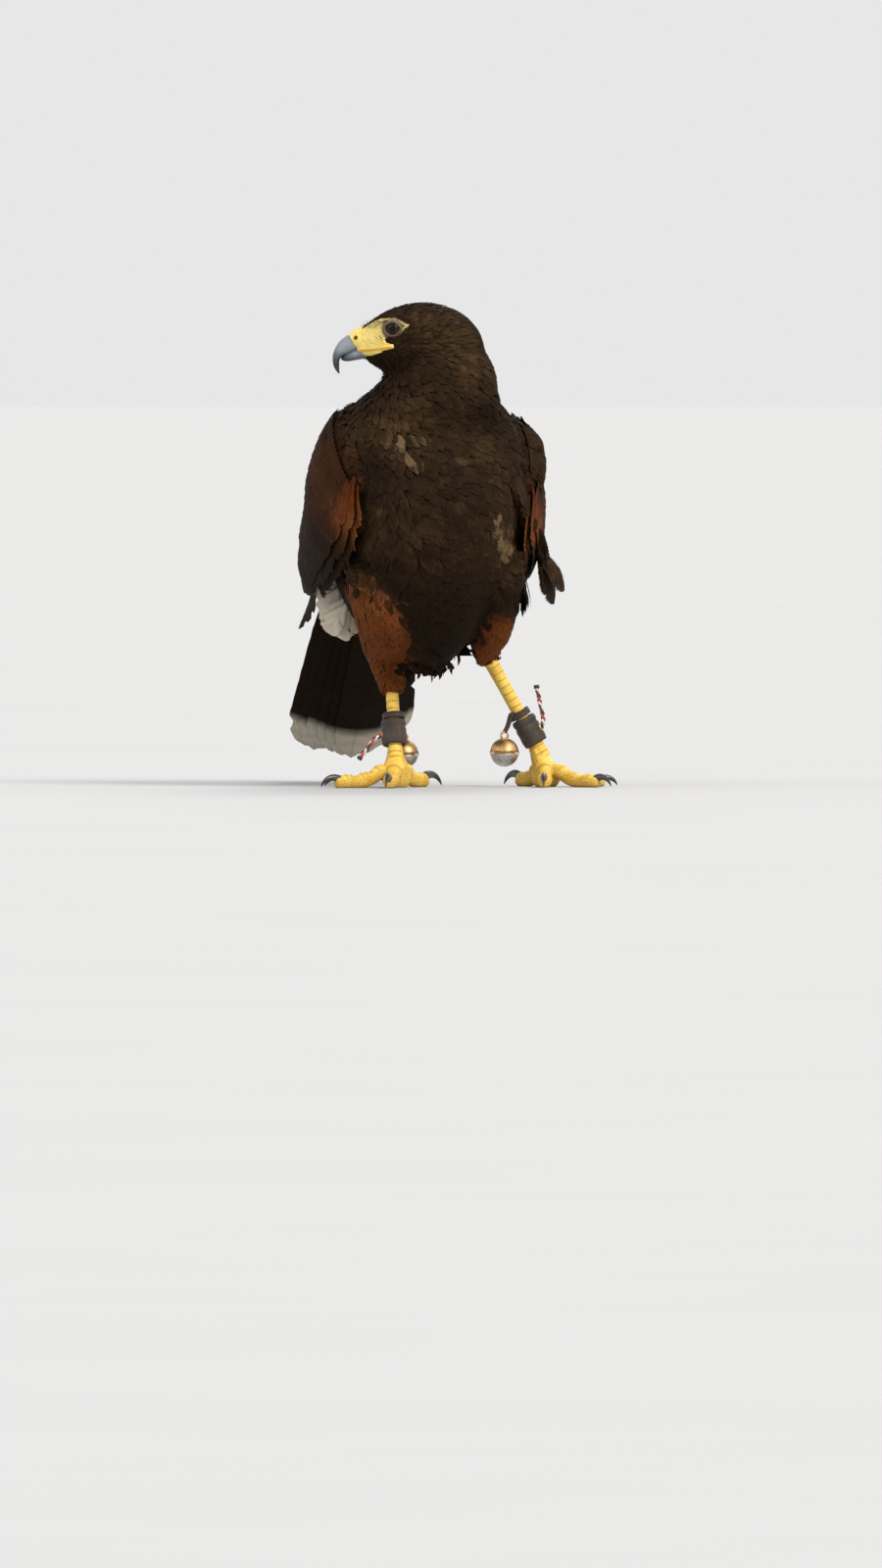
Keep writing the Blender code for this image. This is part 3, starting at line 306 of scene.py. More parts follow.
def in_head(f, l, z):
    """A point in the head's directions: forward, left and height."""
    return HEAD_ORIGIN + HEAD_FORWARD * f + HEAD_LEFT * l + vec(0, 0, z)


def torso_rings():
    rings = []
    for u in np.linspace(0, 1, 60):
        back_y, back_z, belly_y, belly_z, half, egg, lean = along(TORSO_KEYS, u)
        back, belly = vec(lean, back_y, back_z), vec(lean, belly_y, belly_z)
        rings.append(ellipse((back + belly) / 2, vec(half, 0, 0), (back - belly) / 2, 72, 2.15, egg))
    return rings


def neck_rings():
    rings = []
    for z in np.linspace(NECK_KEYS[0][0], NECK_KEYS[-1][0], 30):
        middle, long_half, back, deep_half = along(NECK_KEYS, z)
        centre = in_head(middle, 0, z) + vec(0, back, 0)
        rings.append(ellipse(centre, HEAD_FORWARD * long_half, HEAD_LEFT * deep_half, 64, 2.1))
    return rings


def head_rings():
    rings = []
    for f in np.linspace(-43, 46.5, 64):
        top, bottom, half = along(HEAD_KEYS, f)
        rings.append(ellipse(in_head(f, 0, (top + bottom) / 2), HEAD_LEFT * half,
                             vec(0, 0, (top - bottom) / 2), 64, 2.1))
    return rings


def thigh_rings(name):
    knee, hock, foot = KNEE[name], HOCK[name], BALL[name]
    shin = unit(foot - hock)
    rings = []
    for u in np.linspace(0, FEATHERED_TO[name], 36):
        half, deep = along(THIGH_KEYS[name], u)
        if u <= 1:
            centre = knee + (hock - knee) * u - vec(0, THIGH_BOW[name] * math.sin(math.pi * u), 0)
        else:
            centre = hock + shin * (u - 1) * np.linalg.norm(hock - knee)
        share = min(max((u - 0.85) / 0.3, 0), 1)
        ahead = unit(unit(hock - knee) * (1 - share) + shin * share)
        across = unit(vec(1, 0, 0) - ahead * ahead[0])
        rings.append(ellipse(centre, across * half, unit(np.cross(ahead, across)) * deep, 40))
    return rings


def wing_point(side, s, t):
    """A point of the folded wing's sheet: s from wrist to tip, t from its lower to its upper edge."""
    v = along(WING_KEYS, s)
    found = (v[0:3] * (2 * (t - 0.5) * (t - 1)) + v[3:6] * (4 * t * (1 - t)) + v[6:9] * (2 * t * (t - 0.5)))
    found[0] += WING_SPREAD[side] * math.sin(math.pi * min(max(s, 0), 1))
    found[0] *= side
    return found + WING_SHIFT[side] * (1 - s)


def wing_normal(side, s, t):
    e = 0.02
    along_s = wing_point(side, min(s + e, 1), t) - wing_point(side, max(s - e, 0), t)
    along_t = wing_point(side, s, t + e) - wing_point(side, s, t - e)
    return unit(np.cross(along_s, along_t) * side)


def clear_of(trees, point, room):
    """The point, pushed out of the body to at least that distance."""
    for tree in trees:
        near, normal, _, _ = tree.find_nearest(Vector(point))
        height = (Vector(point) - near).dot(normal)
        if height < room:
            point = np.array(near + normal * room)
    return point


def on_wing(side, s, t, offset):
    point = clear_of(flank, wing_point(side, s, t), BODY_ROOM)
    return clear_of(flank, point + wing_normal(side, s, t) * offset, LEAST_ROOM)


def arm_offset(s):
    share = min(s / HAND_START, 1)
    return 1 + (ARM_OFFSET - 1) * share * share * (3 - 2 * share)


def arm_rings(side):
    """The folded arm under the coverts, as rings across it from the wrist backwards."""
    rings = []
    for x in np.linspace(0, 1, 26):
        s = 0.44 * x
        low, high = 0.02 + 0.14 * x, 0.98 - 0.06 * x
        edge_s = math.sin(math.pi * min(max(x, 0.04), 0.96))
        upper, lower = [], []
        for y in np.linspace(0, 1, 18):
            edge_t = math.sin(math.pi * min(max(y, 0.05), 0.95))
            rise = 6.0 * (edge_s * edge_t) ** 0.45
            t = low + (high - low) * y
            upper.append(on_wing(side, s, t, arm_offset(s) + rise))
            lower.append(on_wing(side, s, t, max(arm_offset(s) - 3, 0)))
        rings.append(np.array(upper + lower[::-1]))
    return rings


def stump_rings():
    rings = []
    for forth, half, thick in ((-12, 8, 5), (-6, 15, 8), (6, 19, 8.6), (18, 19.5, 7.6), (26, 18, 4.6)):
        centre = TAIL_BASE + TAIL_AXIS * forth - TAIL_UP * 4
        rings.append(ellipse(centre, TAIL_SIDE * half, TAIL_UP * thick, 40))
    return rings


def tube_rings(path, radii, sides=16, squash=1.0, up=vec(0, 0, 1)):
    """Rings round a path; squash is the height over the width."""
    path = np.asarray(path, float)
    ahead = unit(np.gradient(path, axis=0))
    across = unit(np.cross(up, ahead))
    over = np.cross(ahead, across)
    return [ellipse(p, a * r, o * r * squash, sides) for p, a, o, r in zip(path, across, over, radii)]


def brow_rings(side):
    """The bony shield that stands over the eye."""
    path, radii = [], []
    for x in np.linspace(0, 1, 24):
        f, z, out, radius = along(BROW_KEYS, x)
        top, bottom, half = along(HEAD_KEYS, f)
        height = (2 * z - top - bottom) / (top - bottom)
        width = half * (1 - min(abs(height), 0.99) ** 2.1) ** (1 / 2.1)
        path.append(in_head(f, side * (width + out), z))
        radii.append(radius)
    return tube_rings(path, radii, 20, 0.7)


flank = [tree_of(outwards(mesh_of("room", *loft(rings)))) for rings in (neck_rings(), torso_rings())]
FLESH = {
    "torso": torso_rings(),
    "neck": neck_rings(),
    "head": head_rings(),
    "thigh_right": thigh_rings("right"),
    "thigh_left": thigh_rings("left"),
    "arm_right": arm_rings(-1),
    "arm_left": arm_rings(1),
    "stump": stump_rings(),
}
FLESH_MESHES = {name: loft(rings) for name, rings in FLESH.items()}
brows = [loft(brow_rings(side)) for side in (-1, 1)]
hide = remeshed("hide", list(FLESH_MESHES.values()) + brows, SKIN_VOXEL)
coarse = remeshed("coarse", FLESH_MESHES.values(), FLOW_VOXEL)

# Each point of the hide belongs to the part of the body whose own surface is nearest. The parts'
# rings give every feather its place on an unwrap of that part: round it and along it.
PARTS = list(FLESH)
part_trees = [tree_of(outwards(mesh_of("room", *FLESH_MESHES[name]))) for name in PARTS]
coarse_points = points_of(coarse)
distances = np.array([[tree.find_nearest(Vector(p))[3] for tree in part_trees] for p in coarse_points])
coarse_part = distances.argmin(1)
ring_index = {}
for name, rings in FLESH.items():
    rings = np.array(rings)
    finder = KDTree(rings.shape[0] * rings.shape[1])
    for i, point in enumerate(rings.reshape(-1, 3)):
        finder.insert(point, i)
    finder.balance()
    ring_index[name] = (finder, rings.shape[0], rings.shape[1])


def unwrapped(name, point):
    finder, count, sides = ring_index[name]
    k, i = divmod(finder.find(point)[1], sides)
    return 0.03 + 0.94 * i / sides, 0.03 + 0.94 * k / count


# The lie of the plumage: away from the bill over the whole hide, straightened along the wings.
pairs = np.empty(len(coarse.edges) * 2, np.int32)
coarse.edges.foreach_get("vertices", pairs)
pairs = pairs.reshape(-1, 2)
lengths = np.linalg.norm(coarse_points[pairs[:, 0]] - coarse_points[pairs[:, 1]], axis=1)
reached = [[] for _ in coarse_points]
for (a, b), length in zip(pairs.tolist(), lengths.tolist()):
    reached[a].append((b, length))
    reached[b].append((a, length))
bill_base = in_head(44, 0, 304)
from_bill = np.full(len(coarse_points), 1e9)
first = int(np.linalg.norm(coarse_points - bill_base, axis=1).argmin())
from_bill[first] = 0
queue = [(0.0, first)]
while queue:
    far, here = heapq.heappop(queue)
    if far > from_bill[here]:
        continue
    for there, length in reached[here]:
        if far + length < from_bill[there]:
            from_bill[there] = far + length
            heapq.heappush(queue, (far + length, there))
from_bill = neighbours_mean(coarse, from_bill, 12)
coarse_normals = normals_of(coarse)
rise = (from_bill[pairs[:, 1]] - from_bill[pairs[:, 0]])[:, None]
steps_between = coarse_points[pairs[:, 1]] - coarse_points[pairs[:, 0]]
push = rise * steps_between / np.maximum(lengths, 1e-6)[:, None] ** 2
lie = np.zeros_like(coarse_points)
for end in (0, 1):
    np.add.at(lie, pairs[:, end], push)
wing_lie = {side: unit(wing_point(side, 0.40, 0.5) - wing_point(side, 0.10, 0.5)) for side in (-1, 1)}
for i, part in enumerate(coarse_part):
    if PARTS[part].startswith("arm"):
        lie[i] = unit(lie[i]) * 0.3 + wing_lie[SIDES[PARTS[part][4:]]]
    elif PARTS[part].startswith("thigh"):
        name = PARTS[part][6:]
        lie[i] = unit(lie[i]) * 0.5 + unit(HOCK[name] - KNEE[name]) * 0.7
    elif PARTS[part] == "stump":
        lie[i] = TAIL_AXIS
lie = unit(neighbours_mean(coarse, unit(lie), 6))
coarse_finder = KDTree(len(coarse_points))
for i, point in enumerate(coarse_points):
    coarse_finder.insert(point, i)
coarse_finder.balance()

# Bare skin of the face, as outlines of (forward, height): the lore between bill and eye, and the
# almond round the eye.
BARE_LORE = ((45, 315.8), (38.5, 317.2), (34, 318.8), (29, 320.6), (25.0, 319.5), (25.4, 311), (26.6, 306),
             (24, 303.6), (20.4, 303.0), (20.6, 300.9), (28, 299.0), (34, 296.8), (45, 295.4))
BARE_ORBIT = ((33, 319.6), (26.2, 321.6), (19.0, 321.6), (14.2, 319.5), (9.6, 317.0), (13.0, 313.6), (15.0, 310.4),
              (20.6, 308.2), (26.6, 309.4), (28.6, 312))


def inside_by(outline, f, z):
    """How far (f, z) is inside an outline, negative outside it."""
    outline = np.array(outline, float)
    f, z = np.asarray(f, float), np.asarray(z, float)
    nearest, odd = np.full(f.shape, 1e9), np.zeros(f.shape, bool)
    for (af, az), (bf, bz) in zip(outline, np.roll(outline, -1, axis=0)):
        share = np.clip(((f - af) * (bf - af) + (z - az) * (bz - az)) / ((bf - af) ** 2 + (bz - az) ** 2), 0, 1)
        nearest = np.minimum(nearest, np.hypot(f - af - share * (bf - af), z - az - share * (bz - az)))
        crosses = (az > z) != (bz > z)
        odd ^= crosses & (f < (bf - af) * (z - az) / np.where(bz == az, 1, bz - az) + af)
    return np.where(odd, nearest, -nearest)


def bareness(f, z):
    return np.maximum(inside_by(BARE_LORE, f, z), inside_by(BARE_ORBIT, f, z))


def in_head_axes(points):
    """Forward, left and height of points, the other way round from in_head."""
    q = points - HEAD_ORIGIN
    return q @ HEAD_FORWARD, q @ HEAD_LEFT, q[..., 2]


# The coat is deep on breast and belly and shallow on the face.
COAT_DEPTH = {"torso": 2.8, "neck": 2.2, "head": 1.2, "thigh_right": 2.2, "thigh_left": 2.2,
              "arm_right": 1.8, "arm_left": 1.8, "stump": 2.4}
coarse_depth = neighbours_mean(coarse, np.array([COAT_DEPTH[PARTS[p]] for p in coarse_part]), 4)
hide_points = points_of(hide)
hide_points = neighbours_mean(hide, hide_points, 3)
depth = np.array([coarse_depth[coarse_finder.find(p)[1]] for p in hide_points])
f, l, z = in_head_axes(hide_points)
depth -= (depth - 0.35) * soft(bareness(f, z), -0.5, 0.8) * (np.abs(l) > 4) * (f > 7) * (z > 285)
hide.vertices.foreach_set("co", ((hide_points + ORIGIN) * MM).ravel())
hide.update()
hide_points = hide_points - normals_of(hide) * neighbours_mean(hide, depth, 8)[:, None]
hide.vertices.foreach_set("co", ((hide_points + ORIGIN) * MM).ravel())
hide.update()
hide.shade_smooth()
hide_tree = tree_of(hide)

# Plumage colours
# A Harris hawk is blackish brown, chestnut on shoulders and thighs, and white above and below the
# root of the tail and at its tip. Each hide point and each feather carries its shares of chestnut
# and white and a number of its own, and one finish reads them. Painted shade darkens the belly and the folded wings and
# dulls the tail's white.


class Wire:
    """A value on its way through a material; sums and products of wires add Math nodes."""

    def __init__(self, tree, socket=None):
        self.tree, self.socket = tree, socket

    def add(self, kind, settings=(), values=(), out=0):
        """Any other node: its settings are set first, then the values or links of its sockets."""
        made = self.tree.nodes.new("ShaderNode" + kind)
        for name, value in dict(settings).items():
            if name == "stops":
                stops = made.color_ramp.elements
                while len(stops) < len(value):
                    stops.new(1.0)
                for stop, (position, colour) in zip(stops, value):
                    stop.position, stop.color = position, (*colour, 1)
            else:
                setattr(made, name, value)
        for name, value in dict(values).items():
            if isinstance(value, Wire):
                self.tree.links.new(value.socket, made.inputs[name])
            else:
                made.inputs[name].default_value = value
        return Wire(self.tree, made.outputs[out])

    def maths(self, operation, a, b=0.0, c=0.0, clamp=False):
        return self.add("Math", {"operation": operation, "use_clamp": clamp}, {0: a, 1: b, 2: c})

    def __add__(self, other):
        return self.maths("ADD", self, other)

    def __sub__(self, other):
        return self.maths("SUBTRACT", self, other)

    def __rsub__(self, other):
        return self.maths("SUBTRACT", other, self)

    def __mul__(self, other):
        return self.maths("MULTIPLY", self, other)

    def __truediv__(self, other):
        return self.maths("DIVIDE", self, other)

    __radd__ = __add__
    __rmul__ = __mul__

    def ramp(self, low, high):
        """0 below low and 1 above high, smooth between."""
        return self.add("MapRange", {"interpolation_type": "SMOOTHSTEP"},
                        {"Value": self, "From Min": low, "From Max": high})

    def mix(self, a, b):
        """Colour a where this is 0 and colour b where it is 1."""
        a, b = ((*c, 1) if isinstance(c, tuple) else c for c in (a, b))
        return self.add("Mix", {"data_type": "RGBA"}, {0: self, 6: a, 7: b}, 2)

    def noise(self, scale, detail=3.0, rough=0.55, seed=0.0):
        """Noise at this vector, around 0.5."""
        return self.add("TexNoise", {"noise_dimensions": "4D"},
                        {"Vector": self, "W": seed, "Scale": scale, "Detail": detail, "Roughness": rough})

    def into(self, socket):
        self.tree.links.new(self.socket, socket)


def finish_of(name, roughness=0.6, **constants):
    """A material, its first wire and its shader; constants are set on the shader's own sockets."""
    made = bpy.data.materials.new(name)
    made.use_nodes = True
    shader = made.node_tree.nodes["Principled BSDF"]
    shader.inputs["Roughness"].default_value = roughness
    for socket, value in constants.items():
        shader.inputs[socket.replace("_", " ")].default_value = value
    return made, Wire(made.node_tree), shader


def bumped(start, shader, height, strength, distance):
    start.add("Bump", {}, {"Height": height, "Strength": strength, "Distance": distance}).into(shader.inputs["Normal"])


DARK_BROWN = (0.0095, 0.0048, 0.0020)
SMOKY_BROWN = (0.082, 0.045, 0.018)
WORN_BROWN = (0.160, 0.108, 0.056)
CHESTNUT = (0.25, 0.065, 0.009)
CHESTNUT_DARK = (0.058, 0.014, 0.003)
CREAM = (0.62, 0.56, 0.45)
BUFF_EDGE = (0.30, 0.20, 0.11)


def plumage_finish(name):
    """Feather colour from its marks: chestnut, white, its own number and how far along it is."""
    made, start, shader = finish_of(name, 0.75, Specular_IOR_Level=0.06)
    marks = start.add("VertexColor", {"layer_name": "Marks"})
    parts = marks.add("SeparateColor", {}, {0: marks})
    chestnut, white, own = (Wire(parts.tree, parts.socket.node.outputs[k]) for k in range(3))
    far = Wire(marks.tree, marks.socket.node.outputs["Alpha"])
    vane = start.add("UVMap", {"uv_map": "Vane"})
    split = vane.add("SeparateXYZ", {}, {0: vane})
    across = split.maths("ABSOLUTE", split)
    down = Wire(split.tree, split.socket.node.outputs[1])
    place = start.add("TexCoord", out=3)
    blotch = place.noise(26.0, 2.0, 0.5).ramp(0.46, 0.66)
    strand = split.add("CombineXYZ", {}, {0: split * 2.4, 1: down * 75 - across * 0.6, 2: own * 40}).noise(1.0, 3.0, 0.6)
    mottle = (place.noise(140.0, 2.0, 0.6) * 0.45 + strand * 0.55).ramp(0.36, 0.66)
    barbs = (down * 620 - across * 4.4 + own * 17).maths("SINE", down * 620 - across * 4.4 + own * 17)
    streak = place.noise(900.0, 2.0, 0.6)
    edge = across.ramp(0.62, 1.0) * far.ramp(0.25, 0.8) + far.ramp(0.86, 1.0)
    light = (blotch * 0.30 + mottle * 0.40 + 0.12) * (own * 1.10 + 0.04) + edge * (own * 0.10 + 0.03)
    brown = light.mix(DARK_BROWN, SMOKY_BROWN)
    brown = ((own + mottle * 0.3).ramp(0.75, 1.35) * 0.70).mix(brown, WORN_BROWN)
    red = ((mottle * 0.35 + own * 0.35 + far * 0.25 - 0.05) * chestnut * 1.1).mix(CHESTNUT_DARK, CHESTNUT)
    red = (edge * own * 0.55).mix(red, BUFF_EDGE)
    pale = (streak * 0.25 + own * 0.10).mix(CREAM, BUFF_EDGE)
    colour = chestnut.mix(brown, red)
    colour = white.mix(colour, pale)
    shade = barbs * 0.05 + streak * 0.25 + 0.80 - (across.ramp(0.0, 0.10) * -0.18 + 0.18) * far.ramp(0.1, 0.5)
    colour = colour.add("VectorMath", {"operation": "SCALE"}, {0: colour, "Scale": shade})
    colour.into(shader.inputs["Base Color"])
    bumped(start, shader, barbs * 0.5 + streak, 0.35, 0.0004)
    return made


plumage = plumage_finish("plumage")


# Places on the breast, as x, z and reach, where the feathers' paler roots show.
PALE_SPOTS = ((-37, 248, 9), (-34, 234, 7), (31, 188, 9), (22, 198, 7), (39, 178, 7))


def shoulder_red(s, t):
    """Chestnut on a wing: full along the front edge below the wrist; behind it the shoulder's own chestnut is held down
    to a weak maroon tinge as painted shade.
    """
    front = 0.86 * soft(t, 0.26, 0.09) * soft(s, 0.22, 0.13)
    # Painted shade: the shoulder's chestnut behind the front edge is held down to a third.
    shaded_shoulder = 0.33 * soft(t, 0.85, 0.60) * soft(s, 0.27, 0.15)
    return float(max(front, shaded_shoulder) + 0.06 * soft(s, 0.60, 0.30))


def markings(part, p):
    """Shares of chestnut and white at a point of that part."""
    x, y, z = p
    if part.startswith("thigh"):
        low, high = (134, 121) if part.endswith("left") else (158, 144)
        return 0.92 * float(soft(z, low, high)), 0.0
    if part.startswith("arm"):
        around, forth = unwrapped(part, p)
        s = 0.46 * (forth - 0.03) / 0.94
        t = (around - 0.03) / 0.94 * 36 / 17
        return shoulder_red(s, t if t <= 1 else 2 - t), 0.0
    if part == "stump":
        return 0.0, 1.0
    if part == "torso":
        under = float(soft(y, 40, 62)) * float(soft(z, 160, 138))
        over = float(soft(y, 78, 88)) * float(soft(z, 150, 165))
        trouser = 0.92 * soft(0.97 * x - 0.242 * y, -26, -30) * soft(z, 157, 149) * (y < 0)
        return float(trouser), max(under, over)
    return 0.0, 0.0


def add_marks(mesh, values):
    layer = mesh.color_attributes.new("Marks", "FLOAT_COLOR", "POINT")
    layer.data.foreach_set("color", np.asarray(values, np.float32).ravel())


rng = np.random.default_rng(20)
nearest_coarse = np.array([coarse_finder.find(p)[1] for p in hide_points])
coarse_marks = np.array([markings(PARTS[part], p) for part, p in zip(coarse_part, coarse_points)])
coarse_marks = neighbours_mean(coarse, coarse_marks, 2)
hide_marks = np.column_stack([coarse_marks[nearest_coarse], np.full(len(hide_points), 0.3), np.full(len(hide_points), 0.4)])
add_marks(hide, hide_marks)
hide.uv_layers.new(name="Vane")
skin = place("skin", hide)
skin.data.materials.append(plumage)
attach(skin, "root")
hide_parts("torso", "neck", "head", "thigh_right", "thigh_left", "rump")

# Small body feathers
# Contour feathers overlap like tiles from the bill to the tail. Each is a closed, thin vane with
# a raised shaft and a frayed outline; its root is under the hide and its tip stands off it.

FEATHER_SIZES = {
    # part: spacing, length, width over length, rows
    "head": (1.75, 8.2, 0.30, 9),
    "neck": (2.8, 15.5, 0.32, 14),
    "torso": (4.35, 25.0, 0.38, 16),
    "thigh_right": (3.1, 18.0, 0.32, 14),
    "thigh_left": (3.1, 18.0, 0.32, 14),
    "arm_right": (4.2, 17.0, 0.58, 12),
    "arm_left": (4.2, 17.0, 0.58, 12),
    "stump": (4.6, 26.0, 0.50, 13),
}
STATIONS = 5


def feather_size(part, p, far):
    """How much larger or smaller than its part's usual a feather is at that point."""
    if part == "head":
        return 0.55 + 0.60 * float(soft(far, 8, 85))
    if part == "neck":
        return 0.85 + 0.3 * float(soft(p[2], 290, 250))
    if part == "torso":
        return 0.66 + 0.46 * float(soft(p[2], 265, 140))
    if part.startswith("thigh"):
        return 1.05 - 0.45 * float(soft(p[2], 100, 66))
    if part.startswith("arm"):
        return 0.72 + 0.45 * float(soft(p[1], -50, 30))
    return 1.0


def scattered(count):
    """Random places all over the hide, evenly by area, in a random order."""
    hide.calc_loop_triangles()
    corners = np.empty(len(hide.loop_triangles) * 3, np.int32)
    hide.loop_triangles.foreach_get("vertices", corners)
    a, b, c = (hide_points[corners.reshape(-1, 3)[:, k]] for k in range(3))
    area = np.linalg.norm(np.cross(b - a, c - a), axis=1)
    chosen = rng.choice(len(area), count, p=area / area.sum())
    u, v = rng.random((2, count, 1))
    fold = (u + v) > 1
    u, v = np.where(fold, 1 - u, u), np.where(fold, 1 - v, v)
    a, b, c = a[chosen], b[chosen], c[chosen]
    return a + (b - a) * u + (c - a) * v, unit(np.cross(b - a, c - a))


def thinned(points, rooms):
    """Which points stay, in order, when each keeps its own room from those before it."""
    cell = float(max(rooms))
    grid, kept = {}, []
    for i, (p, room) in enumerate(zip(points.tolist(), rooms)):
        key = tuple(int(math.floor(v / cell)) for v in p)
        near = False
        for dx in (-1, 0, 1):
            for dy in (-1, 0, 1):
                for dz in (-1, 0, 1):
                    for q in grid.get((key[0] + dx, key[1] + dy, key[2] + dz), ()):
                        if (p[0] - q[0]) ** 2 + (p[1] - q[1]) ** 2 + (p[2] - q[2]) ** 2 < room * room:
                            near = True
                            break
                    if near:
                        break
                if near:
                    break
            if near:
                break
        if not near:
            grid.setdefault(key, []).append(p)
            kept.append(i)
    return kept


def vane_mesh(name, sheet, normal, thick, marks, patches, lengths):
    """One mesh of many closed vanes, each with knife edges and a swollen shaft.

    sheet is (vanes, rows, columns, 3), from edge to edge; normal and thick are the same without
    columns or width; marks is (vanes, rows, 4).
    """
    count, rows, columns = sheet.shape[:3]
    u = np.linspace(-1, 1, columns)
    ring_columns = np.concatenate([np.arange(columns), np.arange(columns - 2, 0, -1)])
    ring_face = np.concatenate([np.ones(columns), -np.ones(columns - 2)])
    swell = (1 - u ** 2) * 0.45 + (np.abs(u) < 0.05) * 0.55
    swell[[0, -1]] = 0
    rise = thick[..., None] * 0.5 * (swell[ring_columns] * ring_face)
    points = (sheet[:, :, ring_columns] + normal[:, :, None, :] * rise[..., None]).reshape(-1, 3)
    ring = len(ring_columns)
    base = (np.arange(count) * rows * ring)[:, None, None]
    k = (np.arange(rows - 1) * ring)[None, :, None]
    a, b = np.arange(ring), (np.arange(ring) + 1) % ring
    quads = np.stack([base + k + v for v in (a, b, b + ring, a + ring)], -1).reshape(-1, 4)
    caps = np.concatenate([base[:, 0] + a[::-1], base[:, 0] + (rows - 1) * ring + a])
    corner = np.concatenate([quads.ravel(), caps.ravel()]).astype(np.int32)
    sizes = np.concatenate([np.full(len(quads), 4), np.full(len(caps), ring)]).astype(np.int32)
    mesh = bpy.data.meshes.new(name)
    mesh.vertices.add(len(points))
    mesh.vertices.foreach_set("co", ((points + ORIGIN) * MM).astype(np.float32).ravel())
    mesh.loops.add(len(corner))
    mesh.loops.foreach_set("vertex_index", corner)
    mesh.polygons.add(len(sizes))
    mesh.polygons.foreach_set("loop_start", np.concatenate([[0], np.cumsum(sizes)[:-1]]).astype(np.int32))
    mesh.update(calc_edges=True)
    mesh.polygons.foreach_set("use_smooth", np.ones(len(sizes), bool))
    place_in_ring = np.arange(len(points)) % ring
    ends_of = np.empty(len(mesh.edges) * 2, np.int32)
    mesh.edges.foreach_get("vertices", ends_of)
    on_rim = np.isin(place_in_ring[ends_of.reshape(-1, 2)], (0, columns - 1)).all(1)
    mesh.attributes.new("sharp_edge", "BOOLEAN", "EDGE").data.foreach_set("value", on_rim)
    across = np.broadcast_to(u[ring_columns], (count, rows, ring)).ravel()[corner]
    share = np.broadcast_to(np.linspace(0, 1, rows)[None, :, None], (count, rows, ring)).ravel()[corner]
    owner = np.repeat(np.arange(count), rows * ring)[corner]
    vane = mesh.uv_layers.new(name="Vane")
    vane.data.foreach_set("uv", np.column_stack([across, share * lengths[owner] * MM]).astype(np.float32).ravel())
    bake = mesh.uv_layers.new(name="OFBake")
    patch = patches[owner] + np.column_stack([across * 0.5, share - 0.5]) * 0.003
    bake.data.foreach_set("uv", patch.astype(np.float32).ravel())
    add_marks(mesh, np.repeat(marks[:, :, None, :], ring, axis=2).reshape(-1, 4))
    return mesh


def laid(points, heights):
    """Points moved to their heights over the hide, and the hide's directions there."""
    placed, up = np.empty_like(points), np.empty_like(points)
    for i, (p, h) in enumerate(zip(points, heights)):
        near, normal, _, _ = hide_tree.find_nearest(Vector(p))
        placed[i] = np.array(near) + np.array(normal) * h
        up[i] = normal
    return placed, up


def between_stations(values, x):
    """Values at shares x of the length, from even stations along axis 1, by smooth cubic pieces."""
    stations = values.shape[1]
    at = np.clip(np.asarray(x) * (stations - 1), 0, stations - 1 - 1e-9)
    i = at.astype(int)
    f = (at - i).reshape((1, -1) + (1,) * (values.ndim - 2))
    p0, p1 = values[:, np.maximum(i - 1, 0)], values[:, i]
    p2, p3 = values[:, i + 1], values[:, np.minimum(i + 2, stations - 1)]
    return 0.5 * (2 * p1 + (p2 - p0) * f + (2 * p0 - 5 * p1 + 4 * p2 - p3) * f ** 2
                  + (3 * p1 - p0 - 3 * p2 + p3) * f ** 3)


def contour_width(x):
    """Share of a body feather's full width, drawn in to its tip."""
    swell = np.sin(0.5 * math.pi * np.clip(x / 0.6, 0, 1)) ** 0.8
    tip = np.clip(1 - (np.clip(x - 0.6, 0, 1) / 0.41) ** 1.7, 0, 1)
    return np.where(x < 0.6, 0.25 + 0.75 * swell, tip)


